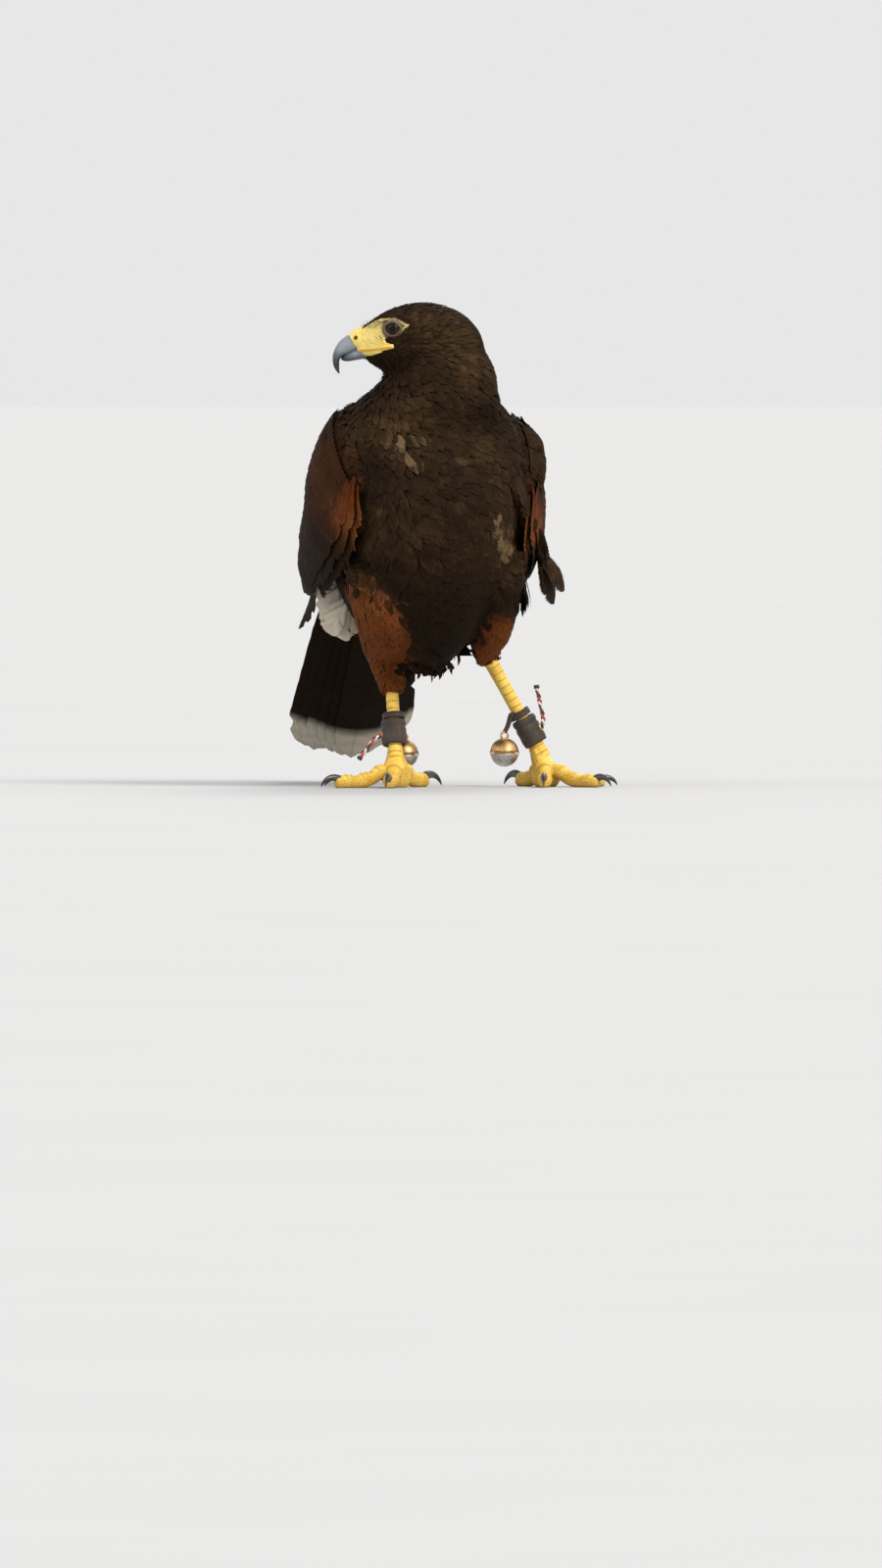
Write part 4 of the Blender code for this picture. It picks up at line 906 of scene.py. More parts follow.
def coat_piece(name, part, roots, directions, lengths, widths, rows, lift, marks, fray=0.15):
    """A mesh of contour feathers from their roots, directions and sizes."""
    count = len(roots)
    side_to = np.empty_like(roots)
    x = np.linspace(0, 1, STATIONS)
    span = np.empty((count, STATIONS, 3))
    for k in range(STATIONS):
        span[:, k] = roots + directions * (lengths * x[k])[:, None]
    heights = -0.9 + (lift[:, None] + 0.9) * (1 - (1 - x[None, :]) ** 1.5)
    spine, up = laid(span.reshape(-1, 3), heights.ravel())
    spine, up = spine.reshape(span.shape), up.reshape(span.shape)
    side_to = unit(np.cross(up, directions[:, None, :] + np.zeros_like(up)))
    half = (widths[:, None] * 0.5 * contour_width(x)[None, :])
    droop = 0.045 * half + 0.10
    edges = []
    for sign in (-1, 1):
        wide = spine + side_to * (sign * half)[..., None]
        edge, _ = laid(wide.reshape(-1, 3), (heights - droop).ravel())
        edges.append(edge.reshape(span.shape))
    rows_at = np.linspace(0, 1, rows)
    shaft = between_stations(spine, rows_at)
    normal = unit(between_stations(up, rows_at))
    true_half = widths[:, None] * 0.5 * contour_width(rows_at)[None, :]
    station_half = np.maximum(between_stations(half[..., None], rows_at)[..., 0], 1e-3)
    notch = np.where(np.arange(rows) % 2 == 1, 1.0, 0.0)[None, :] * fray
    sides = []
    for k in (0, 1):
        edge = between_stations(edges[k], rows_at)
        ragged = 1 - notch * rng.uniform(0.3, 1.6, (count, rows)) + rng.normal(0, 0.04, (count, rows))
        edge = shaft + (edge - shaft) * (true_half / station_half * ragged)[..., None]
        sweep = 0.55 * true_half * (1 - rows_at ** 3)[None, :] + rng.normal(0, 0.02, (count, rows)) * lengths[:, None]
        sides.append(edge + directions[:, None, :] * sweep[..., None])
    thick = 0.34 * (1 - 0.7 * rows_at)[None, :] + np.zeros((count, 1))
    sheet = np.stack([sides[0], shaft, sides[1]], 2)
    mark = np.zeros((count, rows, 4))
    mark[..., :3] = marks[:, None, :]
    mark[..., 3] = rows_at
    patches = np.array([unwrapped(part, p) for p in roots])
    return coat_object(name, vane_mesh(name, sheet, normal, thick, mark, patches, lengths))


def coat_object(name, mesh):
    made = place(name, mesh)
    made.data.materials.append(plumage)
    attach(made, "root")
    return made


# Neighbouring feathers are of one brown, which drifts slowly over the body.
DRIFT_WAVES = rng.normal(0, 0.075, (7, 3)), rng.uniform(0, 6.3, 7)


def own_number(part, p, chestnut):
    """Each feather's own number, which sets how light it is; on the belly and the folded wings it also carries painted
    shade.
    """
    drift = np.sin(p @ DRIFT_WAVES[0].T + DRIFT_WAVES[1]).mean(1)
    own = 0.42 + 0.50 * drift + rng.normal(0, 0.09, len(p))
    if part == "torso":
        # Darker towards the belly: partly the belly's own darker feathers, partly painted shade under the body.
        own = own * (1 - 0.88 * soft(p[:, 2], 200, 140))
        for x, z, reach in PALE_SPOTS:
            far = ((p[:, 0] - x) ** 2 + (p[:, 2] - z) ** 2) / reach ** 2
            own = own + 0.75 * np.exp(-far) * (p[:, 1] < -20) * rng.uniform(0.5, 1.1, len(p))
    if part.startswith("arm"):
        # Wing feathers away from the chestnut are darkened: their own dark brown, deepened as painted shade over the
        # folded wing.
        own = own * (0.30 + 0.80 * chestnut)
    return np.clip(own, 0.02, 1.2 if part == "torso" else 0.7)


candidates, candidate_normals = scattered(90000)
nearest = np.array([coarse_finder.find(p)[1] for p in candidates])
for part in PARTS:
    inside = np.flatnonzero(coarse_part[nearest] == PARTS.index(part))
    spacing, length, width, rows = FEATHER_SIZES[part]
    sizes = np.array([feather_size(part, candidates[i], from_bill[nearest[i]]) for i in inside])
    kept = thinned(candidates[inside], spacing * sizes)
    chosen, sizes = inside[kept], sizes[kept]
    if part == "head":
        f, l, z = in_head_axes(candidates[chosen])
        bare = (f > 43) | ((bareness(f, z) > 0.4) & (np.abs(l) > 5))
        chosen, sizes = chosen[~bare], sizes[~bare]
    if part.startswith("arm"):
        side = SIDES[part[4:]]
        outer = np.array([candidate_normals[i] @ wing_normal(side, 0.25, 0.5) > -0.35 for i in chosen])
        chosen, sizes = chosen[outer], sizes[outer]
    roots, ups, near = candidates[chosen], candidate_normals[chosen], nearest[chosen]
    heading = lie[near] + rng.normal(0, 0.10, roots.shape)
    heading = unit(heading - ups * (heading * ups).sum(1, keepdims=True))
    lengths = length * sizes * rng.uniform(0.85, 1.15, len(roots))
    widths = lengths * width * rng.uniform(0.85, 1.15, len(roots))
    lift = coarse_depth[near] * rng.uniform(0.88, 1.06, len(roots))
    own = own_number(part, roots, coarse_marks[near, 0])
    marks = np.column_stack([coarse_marks[near], own])
    zones = {part: np.full(len(roots), True)}
    if part == "torso":
        behind = roots[:, 1] > -10
        zones = {"breast": ~behind & (roots[:, 2] > 170), "belly": ~behind & (roots[:, 2] <= 170), "back": behind}
    for zone, here in zones.items():
        piece = coat_piece("feathers_" + zone, part, roots[here], heading[here], lengths[here], widths[here],
                           rows, lift[here], marks[here])
        "rufous_feathers" if part[:3] in ("thi", "arm") else "body_feathers"
        print(zone, here.sum(), "feathers", len(piece.data.polygons) * 2, "triangles")

# Wings
# Each folded wing lies on one curved sheet over the flank: ten stiff primaries next to the body,
# twelve secondaries over them, and two rows of coverts over those, each vane with its shaft at
# its middle and with a few splits where barbs have come apart.

ROOF_TILT = 0.13
FLIGHT_COLUMNS = 7


def flight_width(x, root=0.34, widest=0.62, tip=0.30):
    """Share of a flight feather's full width, from its root at 0 to its tip at 1."""
    rise = root + (1 - root) * np.sin(0.5 * math.pi * np.clip(x / widest, 0, 1))
    fall = 1 - (1 - tip) * np.clip((x - widest) / (1 - widest), 0, 1) ** 2.6
    end = np.sqrt(np.clip(1 - np.clip((x - 0.93) / 0.075, 0, 1) ** 2, 0.02, 1))
    return np.where(x < widest, rise, fall) * end


def splits(rows, columns, count):
    """How much of each vane edge is missing at each row: a few narrow notches, and a fine fray."""
    u = np.abs(np.linspace(-1, 1, columns))
    gone = rng.normal(0, 0.012, (rows, columns)) * u
    for _ in range(count):
        row = int(rng.integers(rows // 3, rows - 2))
        hand = rng.choice((0, -1))
        deep = rng.uniform(0.12, 0.45)
        gone[row, hand] += deep
        gone[row, (1, -2)[hand]] += deep * 0.4
    return gone


def wing_feather(side, root, tip, width, offset, stack, rows=30, thin=1.0):
    """Middle surface and normals of one vane on the wing's sheet, from root (s, t) to tip (s, t)."""
    stations, columns = 11, 5
    sheet, up = np.empty((1, stations, columns, 3)), np.empty((1, stations, 3))
    shares = np.linspace(0, 1, stations)
    across = np.linspace(-1, 1, columns)
    e = 0.02
    for k, x in enumerate(shares):
        s = root[0] + (tip[0] - root[0]) * x
        t = root[1] + (tip[1] - root[1]) * x
        per_t = np.linalg.norm(wing_point(side, s, t + e) - wing_point(side, s, t - e)) / (2 * e)
        half = 0.5 * width
        height = offset + stack[0] * (1 - x) + stack[1] * x
        for j, u in enumerate(across):
            lean = height - ROOF_TILT * half * u * min(1.0, 0.35 + x)
            sheet[0, k, j] = on_wing(side, s, t + u * half / per_t, lean)
        up[0, k] = wing_normal(side, s, t)
    rows_at = np.linspace(0, 1, rows)
    fine = between_stations(sheet, rows_at)
    u = np.linspace(-1, 1, FLIGHT_COLUMNS)
    shape = flight_width(rows_at)[:, None] * u[None, :] * (1 - splits(rows, FLIGHT_COLUMNS, 3))
    at = (shape + 1) / 2 * (columns - 1)
    i = np.clip(at.astype(int), 0, columns - 2)
    f = (at - i)[..., None]
    k = np.arange(rows)[:, None]
    made = fine[0][k, i] * (1 - f) + fine[0][k, i + 1] * f
    forth = unit(np.gradient(fine[0][:, columns // 2], axis=0))
    sweep = 0.30 * width * np.abs(shape) * (1 - rows_at[:, None] ** 4)
    made = made + forth[:, None, :] * sweep[..., None]
    bow = 0.9 * (1 - shape ** 2)
    normal = unit(between_stations(up, rows_at))[0]
    return made + normal[:, None, :] * bow[..., None] * thin, normal


def wing_mesh(name, side, feathers, thick=0.55):
    """A piece from rows of (root, tip, width, offset, stack)."""
    sheets, normals, marks, patches, lengths = [], [], [], [], []
    rows = 30
    x = np.linspace(0, 1, rows)
    for root, tip, width, offset, stack in feathers:
        sheet, normal = wing_feather(side, root, tip, width, offset, stack, rows)
        sheets.append(sheet)
        normals.append(normal)
        mark = np.zeros((rows, 4))
        mark[:, 0] = [shoulder_red(root[0] + (tip[0] - root[0]) * v, root[1] + (tip[1] - root[1]) * v) for v in x]
        # Coverts away from the chestnut are darkened, partly as painted shade over the folded wing; flight feathers are
        # dark of their own.
        mark[:, 2] = rng.uniform(0.10, 0.45) * (0.4 if root[0] > 0.25 else 0.35 + 0.75 * mark[:, 0])
        if side > 0 and root[0] < 0.04 and stack[0] < -4:
            mark[:, 0], mark[:, 2] = 0, rng.uniform(0.45, 0.62)
        mark[:, 3] = x
        marks.append(mark)
        patches.append((0.04 + 0.9 * root[0], 0.04 + 0.9 * root[1]))
        lengths.append(np.linalg.norm(sheet[-1, 3] - sheet[0, 3]))
    count = len(sheets)
    thick = np.tile(thick * (1 - 0.75 * x), (count, 1))
    return coat_object(name, vane_mesh(name, np.array(sheets), np.array(normals), thick,
                                       np.array(marks), np.array(patches), np.array(lengths)))


COVERT_ROWS = (
    # roots' s and its rise, tips' s and its bulge, lowest and highest t, width, offset, how many
    (0.24, 0.05, 0.46, 0.09, 0.07, 0.91, 18, 8.6, 13),
    (0.17, 0.05, 0.36, 0.07, 0.05, 0.92, 15, 9.4, 15),
    (0.11, 0.04, 0.27, 0.06, 0.04, 0.90, 13, 9.6, 17),
    (0.06, 0.03, 0.19, 0.05, 0.03, 0.84, 11.5, 9.2, 17),
    (0.02, 0.02, 0.125, 0.04, 0.02, 0.76, 10, 8.2, 17),
)
for name, side in SIDES.items():
    primaries, secondaries, coverts = [], [], []
    for i in range(10):
        q = i / 9
        reach = 1.0 - 0.17 * abs(q - 0.28) ** 1.3 - 0.10 * q
        primaries.append(((0.28 + 0.05 * q, 0.11 + 0.14 * q), (reach, 0.10 + 0.50 * q), 19 - 2 * q, 1.0,
                          (3.4 * q, 2.2 * q)))
    for i in range(12):
        q = i / 11
        tip = (0.58 + 0.20 * math.sin(0.5 * math.pi * min(q * 1.7, 1)), 0.05 + 0.83 * q)
        secondaries.append(((0.26 + 0.05 * q, 0.16 + 0.70 * q), tip, 21 + 2 * q, 6.8, (0.8 * q, 0.9 * q)))
    for root_s, root_rise, tip_s, bulge, low, high, width, offset, count in COVERT_ROWS:
        for i in range(count):
            q = i / (count - 1)
            t = low + (high - low) * q
            tip = (tip_s + bulge * math.sin(math.pi * (0.2 + 0.6 * q)) + rng.normal(0, 0.006), t + rng.normal(0, 0.006))
            coverts.append(((root_s + root_rise * q, 0.10 + 0.80 * q), tip, width, offset, (-2.4, 0.9 * q)))
    for s in np.linspace(0.0, 0.42, 26):
        coverts.append(((s, 0.12), (s + 0.085, -0.07 + rng.normal(0, 0.01)), 9.5, 7.4, (-3, 0.4)))
        coverts.append(((s + 0.01, 0.05), (s + 0.07, -0.13 + rng.normal(0, 0.01)), 9.0, 4.4, (-2, 0.2)))
    if side > 0:
        for i in range(26):
            t = 0.34 + 0.019 * i
            raised = 3.4 * math.sin(math.pi * (i + 1) / 27)
            for s, low in ((0.0, -8.0), (0.014, -6.0), (0.034, -4.5)):
                tip = (0.062 + s + rng.normal(0, 0.01), t - 0.03 + rng.normal(0, 0.012))
                coverts.append(((s, t), tip, rng.uniform(11, 14), 8.4, (low, raised * (1 - 8 * s))))
    hand = wing_mesh("primaries_" + name, side, primaries)
    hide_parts("wing_%s_hand" % name)
    arm = wing_mesh("secondaries_" + name, side, secondaries)
    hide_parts("wing_%s_arm" % name)
    over = wing_mesh("wing_coverts_" + name, side, coverts)
    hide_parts("wing_%s_arm" % name)

# Tail
# Twelve stiff feathers in a fan, each over the next one out, the middle pair on top. They are
# blackish, white at their roots and at their tips, and the tips are worn to blunt notches.

TAIL_FEATHERS = 12
TAIL_SPREAD = {-1: 98, 1: 84}      # width of the fan's tip if both halves were alike
TAIL_FEATHER_WIDTH = 30
TAIL_STACK = 1.05


def tail_point(forth, across, up):
    """Points of the tail from arrays: along it, across it, and up with the fan's arch."""
    return (TAIL_BASE + TAIL_AXIS * forth[..., None] + TAIL_SIDE * across[..., None]
            + TAIL_UP * (up - TAIL_ARCH * across ** 2)[..., None])


def tail_width(x):
    rise = 0.30 + 0.70 * np.sin(math.pi * np.clip(x, 0, 0.5))
    fall = 1 - 0.52 * np.clip((x - 0.86) / 0.14, 0, 1) ** 2.2
    return np.where(x < 0.5, rise, fall)


sheets, marks, patches = [], [], []
rows = 44
x = np.linspace(0, 1, rows)[:, None]
u = np.linspace(-1, 1, FLIGHT_COLUMNS)[None, :]
for rank in range(TAIL_FEATHERS // 2):
    for hand in (-1, 1):
        stack = min(2 * rank, rank + 3) + (0.5 if hand > 0 else -0.5)
        spread = (rank + 0.5) / (TAIL_FEATHERS / 2 - 0.5)
        reach = TAIL_LENGTH + (4 if hand < 0 else -5) * spread ** 2 - rng.uniform(0, 2.5)
        middle = hand * spread * ((TAIL_SPREAD[hand] - TAIL_FEATHER_WIDTH) / 2) * (0.70 + 0.30 * x if hand < 0 else 0.22 + 0.78 * x)
        half = TAIL_FEATHER_WIDTH / 2 * tail_width(x) * (1 - splits(rows, FLIGHT_COLUMNS, 3) * 0.5)
        up = -TAIL_STACK * stack + 5 * x * (1 - x) + 0.5 * (1 - u ** 2)
        forth = reach * x - 4.0 * np.abs(u) ** 1.5 * x ** 8 + 5 * np.abs(u) * (1 - x) * x
        forth = forth + (x > 0.97) * rng.normal(0, 0.8, (1, FLIGHT_COLUMNS))
        sheets.append(tail_point(np.broadcast_to(forth, (rows, FLIGHT_COLUMNS)), middle + half * u, up))
        mark = np.zeros((rows, 4))
        # The white is held at 0.8 of full: the tail's white is dulled as painted shade under the body.
        mark[:, 1] = 0.80 * np.maximum(soft(x[:, 0], 0.32, 0.26), soft(x[:, 0], 0.87, 0.90))
        mark[:, 2] = rng.uniform(0, 0.06)
        mark[:, 3] = 0.45
        marks.append(mark)
        patches.append((0.5 + 0.3 * hand * spread, 0.2))
normal = np.broadcast_to(TAIL_UP, (TAIL_FEATHERS, rows, 3))
thick = np.tile(0.62 * (1 - 0.75 * x[:, 0]), (TAIL_FEATHERS, 1))
tail = coat_object("tail_feathers", vane_mesh("tail_feathers", np.array(sheets), normal, thick, np.array(marks),
                                              np.array(patches), np.full(TAIL_FEATHERS, TAIL_LENGTH)))
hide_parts("tail")

# Loose feathers
# Long soft feathers that hang free of the coat: the white coverts under the tail, the fringe of
# the belly and of the left flank, and the worn ones of the left wing.


def free_feathers(name, feathers, rows=22, columns=5, fray=0.16, shape=contour_width):
    """Vanes in the air from rows of (root, tip, width, face, bow, curl, chestnut, white, own)."""
    x = np.linspace(0, 1, rows)[:, None]
    u = np.linspace(-1, 1, columns)[None, :]
    sheets, normals, marks, patches, lengths = [], [], [], [], []
    for root, tip, width, face, bow, curl, chestnut, white, own in feathers:
        root, tip = np.asarray(root, float), np.asarray(tip, float)
        run = tip - root
        across = unit(np.cross(np.asarray(face, float), run))
        over = unit(np.cross(run, across))
        shaft = root + run * x + over * (bow * 4 * x * (1 - x)) + across * (curl * x * x)
        ragged = 1 - (np.arange(rows) % 2)[:, None] * fray * rng.uniform(0.3, 1.7, (rows, 1)) * np.abs(u)
        half = 0.5 * width * shape(x) * (ragged - splits(rows, columns, 3))
        sweep = 0.42 * width * np.abs(u) * (1 - x ** 3)
        sheet = shaft[:, None, :] + across * (half * u)[..., None] + unit(run) * sweep[..., None]
        sheets.append(sheet - over * (0.10 * half * np.abs(u))[..., None])
        normals.append(np.tile(over, (rows, 1)))
        marks.append(np.column_stack([np.full(rows, chestnut), np.full(rows, white), np.full(rows, own), x[:, 0]]))
        patches.append((0.1 + 0.8 * (root[0] + 120) / 240, 0.1 + 0.8 * root[2] / 340))
        lengths.append(np.linalg.norm(run))
    thick = np.tile(0.40 * (1 - 0.7 * x[:, 0]), (len(feathers), 1))
    made = coat_object(name, vane_mesh(name, np.array(sheets), np.array(normals), thick, np.array(marks),
                                       np.array(patches), np.array(lengths)))
    return made


def on_hide(point):
    """The nearest place on the hide, a little inside it, and the hide's direction there."""
    near, normal, _, _ = hide_tree.find_nearest(Vector(point))
    return np.array(near) - np.array(normal) * 0.8, np.array(normal)


crissum = []
for side in (-1, 1):
    for row in range(6):
        for k in range(8):
            q = k / 7
            root, up = on_hide(vec(side * (10 + 34 * q), 94 - 28 * q - 5 * row, 162 - 7 * row + rng.normal(0, 1)))
            tip = root + vec(side * (4 + 9 * q), 17 - 5 * q + rng.normal(0, 1), -(24 - 3 * q + rng.normal(0, 1.5)))
            face = vec(side * (0.15 + 0.65 * q) + rng.normal(0, 0.1), -0.8, -0.5)
            crissum.append((root, tip, rng.uniform(15, 19), face, 2.5, rng.normal(0, 1), 0, 1, rng.random() * 0.3))
free_feathers("undertail_coverts", crissum, rows=18, fray=0.05, shape=flight_width)

fringe = []
for i in range(64):
    root, up = on_hide(vec(rng.uniform(-18, 20), rng.uniform(-24, 20), rng.uniform(80, 98)))
    fall = unit(vec(rng.normal(0.05, 0.22), 0.35 + rng.normal(0, 0.2), -0.8) + up * 0.25)
    # Belly fringe is as dark as the belly: partly its own dark brown, partly painted shade under the body.
    fringe.append((root, root + fall * rng.uniform(5, 13), rng.uniform(3.5, 7), up, 1.0, rng.normal(0, 2.5), 0, 0, 0.05))
for i in range(40):
    root, up = on_hide(vec(74, -58 + 30 * rng.random(), 186 - 48 * rng.random()))
    fall = unit(vec(0.16 + rng.normal(0, 0.08), 0.15 + rng.normal(0, 0.12), -0.95))
    fringe.append((root, root + fall * rng.uniform(18, 29), rng.uniform(6, 10), up, 1.5, rng.normal(0, 3), 0, 0,
                   rng.uniform(0, 0.25)))
free_feathers("belly_fringe", fringe, rows=18, fray=0.22)

# Flank feathers lap over the front edge of each folded wing and close the way in behind it.
lapping = []
for name, side in SIDES.items():
    for s in np.linspace(-0.02, 0.36, 30):
        edge = wing_point(side, s, 0.02) + wing_normal(side, s, 0.05) * 5
        for inward in (18, 9):
            root, up = on_hide(edge + vec(-side * inward, -0.8 * inward, 14 + 0.4 * inward))
            short = 7.0 if side < 0 else 1.5
            tip = edge + vec(-side * (short + rng.uniform(-1.5, 1.5)), -3 + rng.normal(0, 1), -7 - rng.uniform(0, 4))
            lapping.append((root, tip, rng.uniform(9, 12), up + vec(side * 0.3, -0.5, 0), 2.0, rng.normal(0, 2), 0, 0,
                          rng.uniform(0.12, 0.45)))
free_feathers("flank_feathers", lapping, rows=18, fray=0.12)

worn = []
for tip, width, own in (((107, 24, 134), 17, 0.62), ((101, 30, 125), 19, 0.50), ((103, 27, 142), 13, 0.66), ((95, 31, 131), 15, 0.35)):
    root = on_wing(1, 0.30, 0.16, ARM_OFFSET + 2)
    worn.append((root, tip, width, (0.45, -0.85, 0.25), 1.5, 1.5, 0, 0, own))
free_feathers("worn_feathers", worn, rows=44, columns=7, fray=0.24)

# Face
# The bare face is soft skin: a waxy yellow lore with fine folds, an orange edge along the mouth,
# and an olive almond round each eye. The brown eyes are wet balls set between rolled lids, and
# short dark bristles stand on the lore. Shade under the brow, round the eyes and in the nostrils
# is painted into the skin's colour.

EYE_FORWARD, EYE_SIDE, EYE_HEIGHT = 19.0, 17.8, 314.6
EYE_RADIUS = 7.3
EYE_TURN = math.radians(14)
EYE_OPENING = 4.2
FACE_STEP = 0.36


def face_finish():
    """Bare skin from its marks: red for orange, green for olive, blue for darkening: the lids' dark wet lip, and
    painted shade round the eyes, under the brow and in the nostrils.
    """
    made, start, shader = finish_of("face_skin", 0.46, Subsurface_Weight=0.12, Subsurface_Scale=0.002,
                                    Specular_IOR_Level=0.45)
    marks = start.add("VertexColor", {"layer_name": "Marks"})
    parts = marks.add("SeparateColor", {}, {0: marks})
    orange, olive, dark = (Wire(parts.tree, parts.socket.node.outputs[k]) for k in range(3))
    place_at = start.add("TexCoord", out=3)
    cloud = place_at.noise(220.0, 3.0, 0.6)
    fine = place_at.noise(1300.0, 3.0, 0.6)
    folds = place_at.add("TexVoronoi", {"feature": "DISTANCE_TO_EDGE"}, {"Vector": place_at, "Scale": 1300.0})
    colour = cloud.ramp(0.3, 0.7).mix((0.80, 0.55, 0.085), (0.86, 0.70, 0.24))
    colour = orange.mix(colour, (0.86, 0.44, 0.035))
    colour = olive.mix(colour, (0.20, 0.155, 0.060))
    # Blue darkens: the lids' wet lip, and painted shade round the eyes, under the brow and in the nostrils.
    colour = (fine.ramp(0.62, 0.80) * 0.35 + dark).mix(colour, (0.045, 0.030, 0.018))
    colour.into(shader.inputs["Base Color"])
    (0.52 - dark * 0.30 - fine * 0.10).into(shader.inputs["Roughness"])
    bumped(start, shader, folds.ramp(0.0, 0.12) * 0.22 + fine * 0.8 + cloud, 0.45, 0.0005)
    return made


def eye_finish():
    """A dark brown iris round the pupil, from the distance to the eye's axis in centimetres."""
    made, start, shader = finish_of("wet_eye", 0.04, Specular_IOR_Level=0.18)
    look = start.add("UVMap", {"uv_map": "Look"})
    parts = look.add("SeparateXYZ", {}, {0: look})
    turn, out = parts, Wire(parts.tree, parts.socket.node.outputs[1])
    spokes = turn.add("CombineXYZ", {}, {0: turn * 26.0, 1: out * 1.5}).noise(1.6, 4.0, 0.6)
    iris = spokes.ramp(0.32, 0.72).mix((0.012, 0.0045, 0.0025), (0.052, 0.018, 0.007))
    iris = out.ramp(0.40, 0.50).mix(iris, (0.006, 0.004, 0.003))
    iris = out.ramp(0.235, 0.262).mix((0.0015, 0.0015, 0.0015), iris)
    iris.into(shader.inputs["Base Color"])
    return made


def grid_mesh(name, grid, around=True):
    """A closed mesh from rings of points: (rings, sides, 3), with its two ends capped."""
    points, faces = loft(grid)
    mesh = outwards(mesh_of(name, points, faces))
    mesh.shade_smooth()
    return mesh


face_skin = face_finish()
wet_eye = eye_finish()

for name, side in SIDES.items():
    look = unit(HEAD_LEFT * side * math.cos(EYE_TURN) + HEAD_FORWARD * math.sin(EYE_TURN))
    ahead = unit(HEAD_FORWARD * math.cos(EYE_TURN) - HEAD_LEFT * side * math.sin(EYE_TURN))
    over = vec(0, 0, 1)
    middle = in_head(EYE_FORWARD, side * EYE_SIDE, EYE_HEIGHT)

    # The ball swells a little in front, where the clear cornea lies over iris and pupil.
    rings, uvs = [], []
    for a in np.linspace(0.02, math.pi - 0.02, 72):
        swell = 0.45 * float(soft(a, 0.75, 0.25))
        rings.append(ellipse(middle + look * (EYE_RADIUS + swell) * math.cos(a),
                             ahead * (EYE_RADIUS + swell) * math.sin(a), over * (EYE_RADIUS + swell) * math.sin(a), 72))
        out = EYE_RADIUS * math.sin(a) if a < math.pi / 2 else EYE_RADIUS
        uvs += [(i / 72, out * 0.1) for i in range(72)]
    ball = grid_mesh("eyeball_" + name, rings)
    layer = ball.uv_layers.new(name="Look")
    for loop in ball.loops:
        layer.data[loop.index].uv = uvs[loop.vertex_index]
    ball.materials.append(wet_eye)
    eyeball = place("eyeball_" + name, ball)
    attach(eyeball, "root")
    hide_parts("eye_" + name)

    # Lids: a soft roll with a thin dark wet lip on the eyeball, drawn to a point fore and aft.
    section = ((-0.25, 0.55, 1), (0.05, 1.15, 0.8), (0.7, 1.5, 0.1), (1.4, 1.25, 0), (2.1, 0.5, 0), (2.7, -0.8, 0),
               (2.4, -2.4, 0), (0.8, -2.4, 0), (-0.2, -0.9, 1))
    section = np.array(section, float)
    for _ in range(2):
        after = np.roll(section, -1, axis=0)
        section = np.stack([section * 0.75 + after * 0.25, section * 0.25 + after * 0.75], 1).reshape(-1, 3)
    rings, dark = [], []
    for turn in np.linspace(0, 2 * math.pi, 121)[:-1]:
        c, s = math.cos(turn), math.sin(turn)
        reach = EYE_OPENING + 0.9 * max(c, 0) ** 6 + 0.7 * max(-c, 0) ** 8 + (0.15 if s < 0 else -0.35) * abs(s)
        base = math.sqrt(max(EYE_RADIUS ** 2 - min(reach, 6.2) ** 2, 0.1))
        fold = 0.10 * math.sin(turn * 23) * (0.3 + 0.7 * abs(c))
        outwards_to = ahead * c + over * s
        rings.append([middle + outwards_to * (reach + r) + look * (base - 0.35 + h * (1 + fold) * (1.15 if s > 0 else 0.9))
                      for r, h, _ in section])
        dark += [d for _, _, d in section]
    rings.append(rings[0])
    points, faces = loft(rings)
    count = len(section)
    faces = [tuple(v % (120 * count) for v in face) for face in faces[:-2]]
    lids = outwards(mesh_of("eyelids_" + name, points[:120 * count], faces))
    lids.shade_smooth()
    # Blue darkens the whole lid roll as painted shade round the eye, and fully at its wet lip.
    add_marks(lids, np.column_stack([np.zeros(len(dark)), np.full(len(dark), 0.9), 0.72 + 0.28 * np.array(dark), np.ones(len(dark))]))
    lids.materials.append(face_skin)
    made = place("eyelids_" + name, lids)
    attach(made, "root")

    # The bare skin is a closed sheet on the hide, sunk under the feathers' roots at its edge.
    fs, zs = np.arange(7.0, 45.5, FACE_STEP), np.arange(293.5, 324.5, FACE_STEP)
    f, z = np.meshgrid(fs, zs, indexing="ij")
    bare = bareness(f, z)
    eye_far = np.hypot(f - EYE_FORWARD, z - EYE_HEIGHT)
    shell = np.full(f.shape, np.nan)
    for i in range(f.shape[0]):
        for j in range(f.shape[1]):
            if bare[i, j] > -1.6 and eye_far[i, j] > EYE_OPENING + 0.7:
                start_at = in_head(f[i, j], side * 45, z[i, j])
                hit = hide_tree.ray_cast(Vector(start_at), Vector(-HEAD_LEFT * side))
                if hit[0] is not None:
                    shell[i, j] = (np.array(hit[0]) - HEAD_ORIGIN) @ HEAD_LEFT * side
    gape = inside_by(((44, 300.9), (34, 301.4), (22, 303.0), (20.0, 302.4), (21, 301.0), (34, 299.2), (44, 298.4)), f, z)
    lip = 0.95 * np.exp(-((gape - 0.8) / 1.0) ** 2) * soft(gape, -0.8, 0.6)
    under = -0.5 * np.exp(-((inside_by(((45, 298.2), (21, 300.6), (21, 300.0), (45, 297.4)), f, z)) / 0.5) ** 2)
    fold = 0.14 * np.sin((z + 0.35 * f) * 3.1 + np.sin(f * 0.9) * 1.1) * soft(eye_far, 6, 9) * soft(eye_far, 22, 12)
    rings_round_eye = 0.12 * np.sin(eye_far * 4.6 + 2 * np.sin(f * 0.8 + z)) * soft(eye_far, 10.5, 8.0)
    rim_line = np.exp(-((inside_by(BARE_ORBIT, f, z) - 0.75) / 0.55) ** 2) * np.maximum(
        soft(z, 314, 318), soft(f, 17, 13)) * soft(f, 33, 28)
    shell = shell + np.clip(0.35 + 0.5 * bare, -0.9, 0.5) + lip + under + fold + rings_round_eye + 0.75 * rim_line
    index, points, marks, faces = {}, [], [], []
